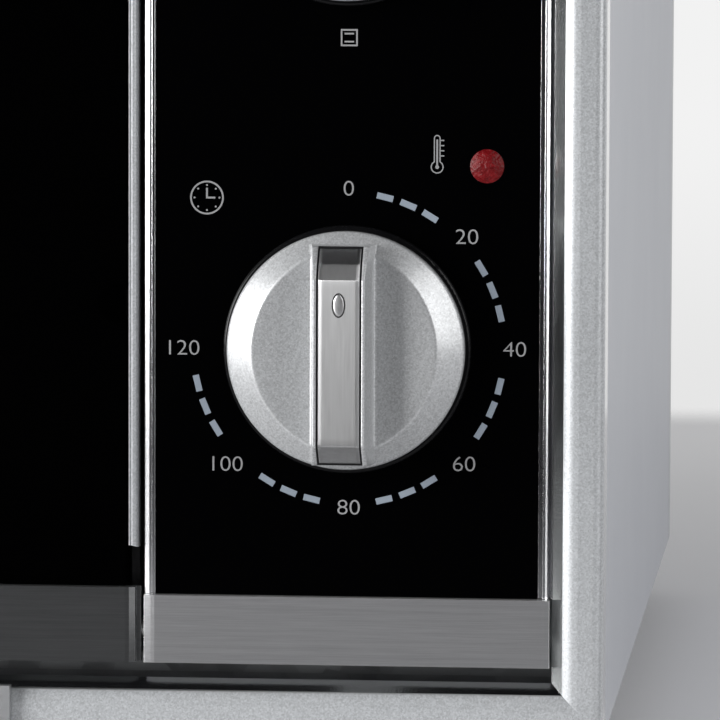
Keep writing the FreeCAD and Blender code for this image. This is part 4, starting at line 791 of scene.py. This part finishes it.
edge_low, edge_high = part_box("door_edges")
edge_section = rounded([
    (-1.12, -3.7), (-1.12, 1.22), (-0.84, 1.22), (-0.78, 1.05), (-0.66, 1.05), (-0.58, 1.32),
    (-0.1, 1.38), (0.35, 1.05), (0.62, 0.35), (0.66, -0.5), (0.6, -2.0), (0.6, -3.7),
], [0.04, 0.04, 0.05, 0.06, 0.1, 0.35, 0.35, 0.3, 0.2, 0.2], 6)
edge_middle = 1.1
foot_bow = 0.12
foot_lowest = -1.25
edge_centres = (
    (edge_high.x - knob_x) / MM - edge_middle, (edge_low.x - knob_x) / MM + edge_middle,
)


def edge_foot(centre, side):
    """The moulding's lower end is cut to a shallow arc that falls away from the door's glass."""
    def foot(x):
        share = side * (x - centre)
        return edge_low.z / MM - foot_bow * (share - foot_lowest) ** 2
    return foot


edge_mouldings = []
for centre, side in zip(edge_centres, (1, -1)):
    section = [(centre + side * x, height) for x, height in edge_section]
    edge_mouldings.append((section, edge_foot(centre, side), edge_high.z / MM))
upright(
    "door_edge_mouldings", edge_mouldings,
    "door", silver_flake, "door_edges",
)


# Cover strips under the two glasses: folded back, with wide bevels where they face each other
strip_depth = 3.6
strip_flange = 2.3
strip_crown = 0.08
strip_shoulder = 0.75


def strip_section(low, high, bevels):
    """The strip's outline seen from above.

    For each end, bevels says how wide and how deep the bevel is and how far it is drawn in.
    """
    left, right = (low.x - knob_x) / MM, (high.x - knob_x) / MM
    front = (face_y - low.y) / MM
    back = front - strip_depth
    outline = []
    for end, side, (wide, deep, inward) in ((left, 1, bevels[0]), (right, -1, bevels[1])):
        edge = end + side * inward
        flange = front - strip_flange
        foot = [(end, back), (end, flange), (edge, flange)] if inward > 0 else [(edge, back)]
        bevelled = deep > strip_crown
        crown = front - strip_crown * bevelled
        corner = foot + [(edge, front - deep), (edge + side * wide, crown)]
        if bevelled:
            corner.append((edge + side * (wide + strip_shoulder), front))
        outline += corner if side == 1 else corner[::-1]
    return outline


door_strip_low, door_strip_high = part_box("door_bottom_strip")
panel_strip_low, panel_strip_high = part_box("panel_bottom_strip")
door_end = (1.15, 0.62, 0.9)
panel_end = (1.3, 0.27, -0.2)
sharp_end = (0.06, 0.06, 0.0)
strip_round = 0.05
for name, node, body, low, high, bevels, finish in (
    ("door_cover_strip", "door_bottom_strip", "door", door_strip_low, door_strip_high,
     # painted shade: the door strip gets the darkened copy of the steel
     (door_end, door_end), brushed_painted_shade),
    ("panel_cover_strip", "panel_bottom_strip", "chassis", panel_strip_low, panel_strip_high,
     (panel_end, sharp_end), brushed_across),
):
    section = rounded(strip_section(low, high, bevels), strip_round, 3)
    sections = ((section, level(low.z / MM), high.z / MM),)
    strip = upright(name, sections, body, finish, node)
    strip.modifiers.new("flat_faces", "WEIGHTED_NORMAL")


# A black printed border behind the door's glass, round the window
glass_low, glass_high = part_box("door_outer_glass")
window_low, window_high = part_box("door_inner_glass")
window_lap = 8.8 * MM
border_behind = 0.01 * MM


def border_mesh():
    depth = glass_high.y + border_behind
    outer = (glass_low.x, glass_low.z, glass_high.x, glass_high.z)
    inner = (
        window_low.x + window_lap, window_low.z + window_lap,
        window_high.x - window_lap, window_high.z - window_lap,
    )
    points = [
        Vector((x, depth, z))
        for x0, z0, x1, z1 in (outer, inner) for x, z in ((x0, z0), (x1, z0), (x1, z1), (x0, z1))
    ]
    faces = [(i, (i + 1) % 4, 4 + (i + 1) % 4, 4 + i) for i in range(4)]
    return mesh_from("door_glass_border", points, faces)


new_piece("door_glass_border", border_mesh(), "door", black_print, smooth=False)


# Prints on the panel glass: flat shapes a hair proud of it, drawn in millimetres from a knob's
# middle. Square holds the signs of a square's corners.
print_proud = 0.02
figure_thinner = -0.045
figure_wider = 1.13
square = ((-1, -1), (1, -1), (1, 1), (-1, 1))


def dash(radius, angle, length, width):
    """A short bar along a circle, as four corners; angle runs clockwise from the top."""
    middle = Vector((math.sin(angle), math.cos(angle))) * radius
    along = Vector((math.cos(angle), -math.sin(angle))) * length / 2
    out = Vector((math.sin(angle), math.cos(angle))) * width / 2
    return [middle + along * a + out * b for a, b in square]


def disc(x, y, radius, count=40):
    turns = [2 * math.pi * i / count for i in range(count)]
    return [Vector((x + radius * math.cos(turn), y + radius * math.sin(turn))) for turn in turns]


def bar_shape(x0, y0, x1, y1, width):
    first, last = Vector((x0, y0)), Vector((x1, y1))
    side = (last - first).normalized() * width / 2
    side = Vector((-side.y, side.x))
    return [first - side, last - side, last + side, first + side]


def print_mesh(name, outlines, words, centre_z):
    """Filled outlines, with holes where one lies in another, and upright figures."""
    made = []
    curve = bpy.data.curves.new(name, "CURVE")
    curve.dimensions = "2D"
    curve.fill_mode = "BOTH"
    curve.extrude = print_proud / 2
    for outline in outlines:
        spline = curve.splines.new("POLY")
        spline.points.add(len(outline) - 1)
        for point, place in zip(spline.points, outline):
            point.co = (place[0], place[1], 0.0, 1.0)
        spline.use_cyclic_u = True
    made.append(put(name + "_shapes", curve))
    for text, x, y, size in words:
        letters = bpy.data.curves.new(name, "FONT")
        letters.body = text
        letters.size = size
        letters.align_x = "CENTER"
        letters.align_y = "CENTER"
        letters.extrude = print_proud / 2
        letters.offset = figure_thinner
        figure = put(name + "_" + text, letters)
        figure.scale.x = figure_wider
        figure.location = (x, y, 0.0)
        made.append(figure)
    build = bmesh.new()
    bpy.context.view_layer.update()
    graph = bpy.context.evaluated_depsgraph_get()
    for item in made:
        flat = bpy.data.meshes.new_from_object(item.evaluated_get(graph))
        flat.transform(item.matrix_world)
        build.from_mesh(flat)
    for item in made:
        bpy.data.objects.remove(item)
    middle_y = face_y - print_proud / 2 * MM
    standing = Matrix((
        (MM, 0, 0, knob_x), (0, 0, -MM, middle_y), (0, MM, 0, centre_z), (0, 0, 0, 1),
    ))
    bmesh.ops.transform(build, matrix=standing, verts=build.verts)
    return filled_mesh(bpy.data.meshes.new(name), build)


def clock_icon(x, y):
    shapes = [disc(x, y, 3.2), disc(x, y, 2.88)]
    for index in range(8):
        angle = math.pi / 4 * index
        shapes.append(disc(x + 2.37 * math.cos(angle), y + 2.37 * math.sin(angle), 0.18, 12))
    shapes.append([Vector(p) for p in (
        (x - 0.17, y - 0.17), (x + 1.6, y - 0.17), (x + 1.6, y + 0.17), (x + 0.17, y + 0.17),
        (x + 0.17, y + 1.85), (x - 0.17, y + 1.85),
    )])
    return shapes


def thermometer_icon(x, y):
    """A tube over a bulb, with four ticks at the right."""
    def outline(tube, bulb, top):
        meet = math.sqrt(bulb ** 2 - tube ** 2)
        start = math.atan2(meet, tube)
        line = []
        for i in range(33):
            angle = start - (2 * math.pi - 2 * (math.pi / 2 - start)) * i / 32
            line.append(Vector((x + bulb * math.cos(angle), y + bulb * math.sin(angle))))
        for i in range(13):
            angle = math.pi - math.pi * i / 12
            line.append(Vector((x + tube * math.cos(angle), y + top + tube * math.sin(angle))))
        return line
    shapes = [outline(0.64, 1.22, 5.4), outline(0.43, 1.01, 5.4), outline(0.17, 0.36, 5.05)]
    for step in range(4):
        tick = y + 2.1 + step * 0.97
        shapes.append(bar_shape(x + 0.67, tick, x + 1.33, tick, 0.22))
    return shapes


def heat_icon(x, y, top, bottom, half=1.6, line=0.3):
    """A square cavity with a line where it heats."""
    shapes = [
        [Vector((x + a * reach, y + b * reach)) for a, b in square] for reach in (half, half - line)
    ]
    for heats, height in ((top, 0.75), (bottom, -0.75)):
        if heats:
            shapes.append(bar_shape(x - 0.9, y + height, x + 0.9, y + height, line))
    return shapes


dash_radius = 29.45
dash_length = 3.15
dash_width = 1.2
label_radius = 31.0
sign_radius = 29.4
dashes = [
    dash(dash_radius, math.radians(45 * sector + offset), dash_length, dash_width)
    for sector in range(6) for offset in (13.5, 22.5, 31.5)
]
timer_words = (
    ("0", 0.0, 30.1), ("20", 22.35, 21.15), ("40", 31.5, 0.0), ("60", 22.0, -21.8),
    ("80", 0.15, -30.3), ("100", -23.3, -22.3), ("120", -31.6, -0.3),
)
figure_size = 4.1
heat_words = [("0", 0.0, 30.1)]
for index, text in enumerate(("100", "130", "160", "190", "220", "250")):
    turn = math.radians(45 * (index + 1))
    heat_words.append((text, label_radius * math.sin(turn), label_radius * math.cos(turn)))
dial_marks = {"timer": dashes, "function": [], "temperature": dashes}
dial_signs = {
    "timer": clock_icon(-26.9, 28.3) + thermometer_icon(16.67, 34.39),
    "function": heat_icon(-26.9, 28.3, True, True, 2.6),
    "temperature": thermometer_icon(-26.9, 26.2),
}
for angle, top, bottom in ((60, True, False), (120, False, True), (180, True, True)):
    turn = math.radians(angle)
    x, y = sign_radius * math.sin(turn), sign_radius * math.cos(turn)
    dial_signs["function"] += heat_icon(x, y, top, bottom)
dial_words = {"timer": timer_words, "function": (("0", 0.0, 30.1),), "temperature": heat_words}
for name in knob_names:
    words = [(text, x, y, figure_size) for text, x, y in dial_words[name]]
    mesh = print_mesh(name + "_dial_figures", dial_signs[name], words, knob_height(name))
    new_piece(name + "_dial_figures", mesh, "chassis", figure_paint, smooth=False)
    if dial_marks[name]:
        mesh = print_mesh(name + "_dial_marks", dial_marks[name], (), knob_height(name))
        new_piece(name + "_dial_marks", mesh, "chassis", print_paint, smooth=False)


# Camera, matched to the photograph's vanishing lines and the dial's circle
camera_place = Vector((0.28916, -1.19158, 0.16977))
yaw, pitch, roll = 0.092251, -0.080669, -0.003437
picture_width = 720
focal_pixels = 5510.44
turn = Matrix.Rotation(yaw, 3, "Z") @ Matrix.Rotation(pitch, 3, "X")
turn = turn @ Matrix.Rotation(roll, 3, "Y")
lens = bpy.data.cameras.new("camera")
lens.sensor_width = 36.0
lens.lens = focal_pixels / picture_width * lens.sensor_width
lens.clip_start = 0.05
camera = put("camera", lens)
axes = Matrix((turn.col[0], turn.col[2], -turn.col[1])).transposed()
camera.matrix_world = Matrix.Translation(camera_place) @ axes.to_4x4()
bpy.context.scene.camera = camera


# Stage: a pale floor that fades out at its edges into the pale surroundings. Each fade runs from
# one place to another, in metres; the mirrored ones are for what glossy faces show of the floor.
floor_half = 2.7
floor_drop = 0.0001
floor_colour = (0.95, 0.95, 0.965)
left_fade = (-2.6, -1.0)
right_fade = (2.6, 1.0)
back_fade = (0.72, 0.64)
back_thinning = (0.05, 0.66, 1.0, 0.7)
front_fade = (-1.4, -0.6)
mirrored_front_fade = (-0.47, -0.31)
mirrored_left_fade = (-0.36, -0.27)
mirrored_foot_fades = ((-0.26, -0.215, 1.0, 0.4), (-0.1, 0.0))

floor_mesh = bpy.data.meshes.new("floor")
floor_mesh.from_pydata(
    [(x * floor_half, y * floor_half, 0) for x, y in square], [], [(0, 1, 2, 3)]
)
floor = put("floor", floor_mesh)
floor.location.z = -floor_drop
floor_finish = bpy.data.materials.new("floor")
tree = Tree(floor_finish)
place = tree.split(tree.add("ShaderNodeTexCoord").outputs["Object"])
edges = tree.product(tree.fade(place["X"], *left_fade), tree.fade(place["X"], *right_fade))
edges = tree.product(edges, tree.fade(place["Y"], *back_fade))
edges = tree.product(edges, tree.fade(place["Y"], *back_thinning))
seen_front = tree.fade(place["Y"], *front_fade)
foot = tree.combined(*(tree.fade(place["Y"], *fade) for fade in mirrored_foot_fades), "MAXIMUM")
mirrored_front = tree.product(tree.fade(place["Y"], *mirrored_front_fade), foot)
mirrored_front = tree.product(mirrored_front, tree.fade(place["X"], *mirrored_left_fade))
rays = tree.add("ShaderNodeLightPath").outputs
front = tree.blended(rays["Is Camera Ray"], mirrored_front, seen_front)
matt = tree.add("ShaderNodeBsdfDiffuse")
tree.feed(floor_colour, matt.inputs["Color"])
clear = tree.add("ShaderNodeBsdfTransparent")
cover = tree.add("ShaderNodeMixShader")
tree.link(tree.product(edges, front), cover.inputs[0])
tree.link(clear.outputs[0], cover.inputs[1])
tree.link(matt.outputs[0], cover.inputs[2])
tree.link(cover.outputs[0], tree.add("ShaderNodeOutputMaterial").inputs["Surface"])
floor_mesh.materials.append(floor_finish)


# Surroundings: a pale backdrop behind and a dim room in front. The camera sees the backdrop all
# round, glossy faces see it behind and near darkness in front. Each fade runs between two
# directions: of Z, -1 is straight down and 1 straight up.
floor_like = (0.42, 0.42, 0.43)
backdrop_colours = ((0.79, 0.79, 0.79), (0.887, 0.887, 0.887))
dark_colours = ((0.008, 0.008, 0.009), (0.006, 0.006, 0.007))
room_colours = ((0.37, 0.37, 0.378), (0.23, 0.23, 0.236))

world = bpy.data.worlds.new("studio")
bpy.context.scene.world = world
tree = Tree(world)
way = tree.split(tree.add("ShaderNodeTexCoord").outputs["Generated"])
pale = tree.mixed(tree.fade(way["Z"], -0.09, -0.035), *backdrop_colours)
seen = tree.mixed(tree.fade(way["Z"], -0.26, -0.15), floor_like, pale)
dark = tree.mixed(tree.fade(way["Z"], -1.0, 1.0), *dark_colours)
behind = tree.product(tree.fade(way["Y"], 0.0, 0.5), tree.fade(way["Z"], 0.8, 0.5))
mirrored = tree.mixed(behind, dark, pale)
room = tree.mixed(tree.fade(way["Z"], 0.1, 0.8), *room_colours)
rays = tree.add("ShaderNodeLightPath").outputs
sharp = tree.combined(rays["Is Glossy Ray"], rays["Is Transmission Ray"], "MAXIMUM")
around = tree.mixed(rays["Is Camera Ray"], tree.mixed(sharp, room, mirrored), seen)
background = tree.add("ShaderNodeBackground")
tree.link(around, background.inputs["Color"])
tree.link(background.outputs[0], tree.add("ShaderNodeOutputWorld").inputs["Surface"])


def softbox(name, place, target, width, height, power):
    light = bpy.data.lights.new(name, "AREA")
    light.shape = "RECTANGLE"
    light.size = width
    light.size_y = height
    light.energy = power
    lamp = put(name, light)
    lamp.location = place
    lamp.rotation_mode = "QUATERNION"
    lamp.rotation_quaternion = (Vector(target) - Vector(place)).to_track_quat("-Z", "Y")
    lamp.visible_camera = False


softbox("left_box", (-1.18, -1.02, 0.36), (0.1, -0.1, 0.2), width=1.2, height=0.66, power=33.0)
softbox("right_box", (1.42, -0.92, 0.68), (0.2, -0.1, 0.4), width=0.85, height=1.25, power=10.0)

bpy.context.scene.view_settings.view_transform = "Standard"
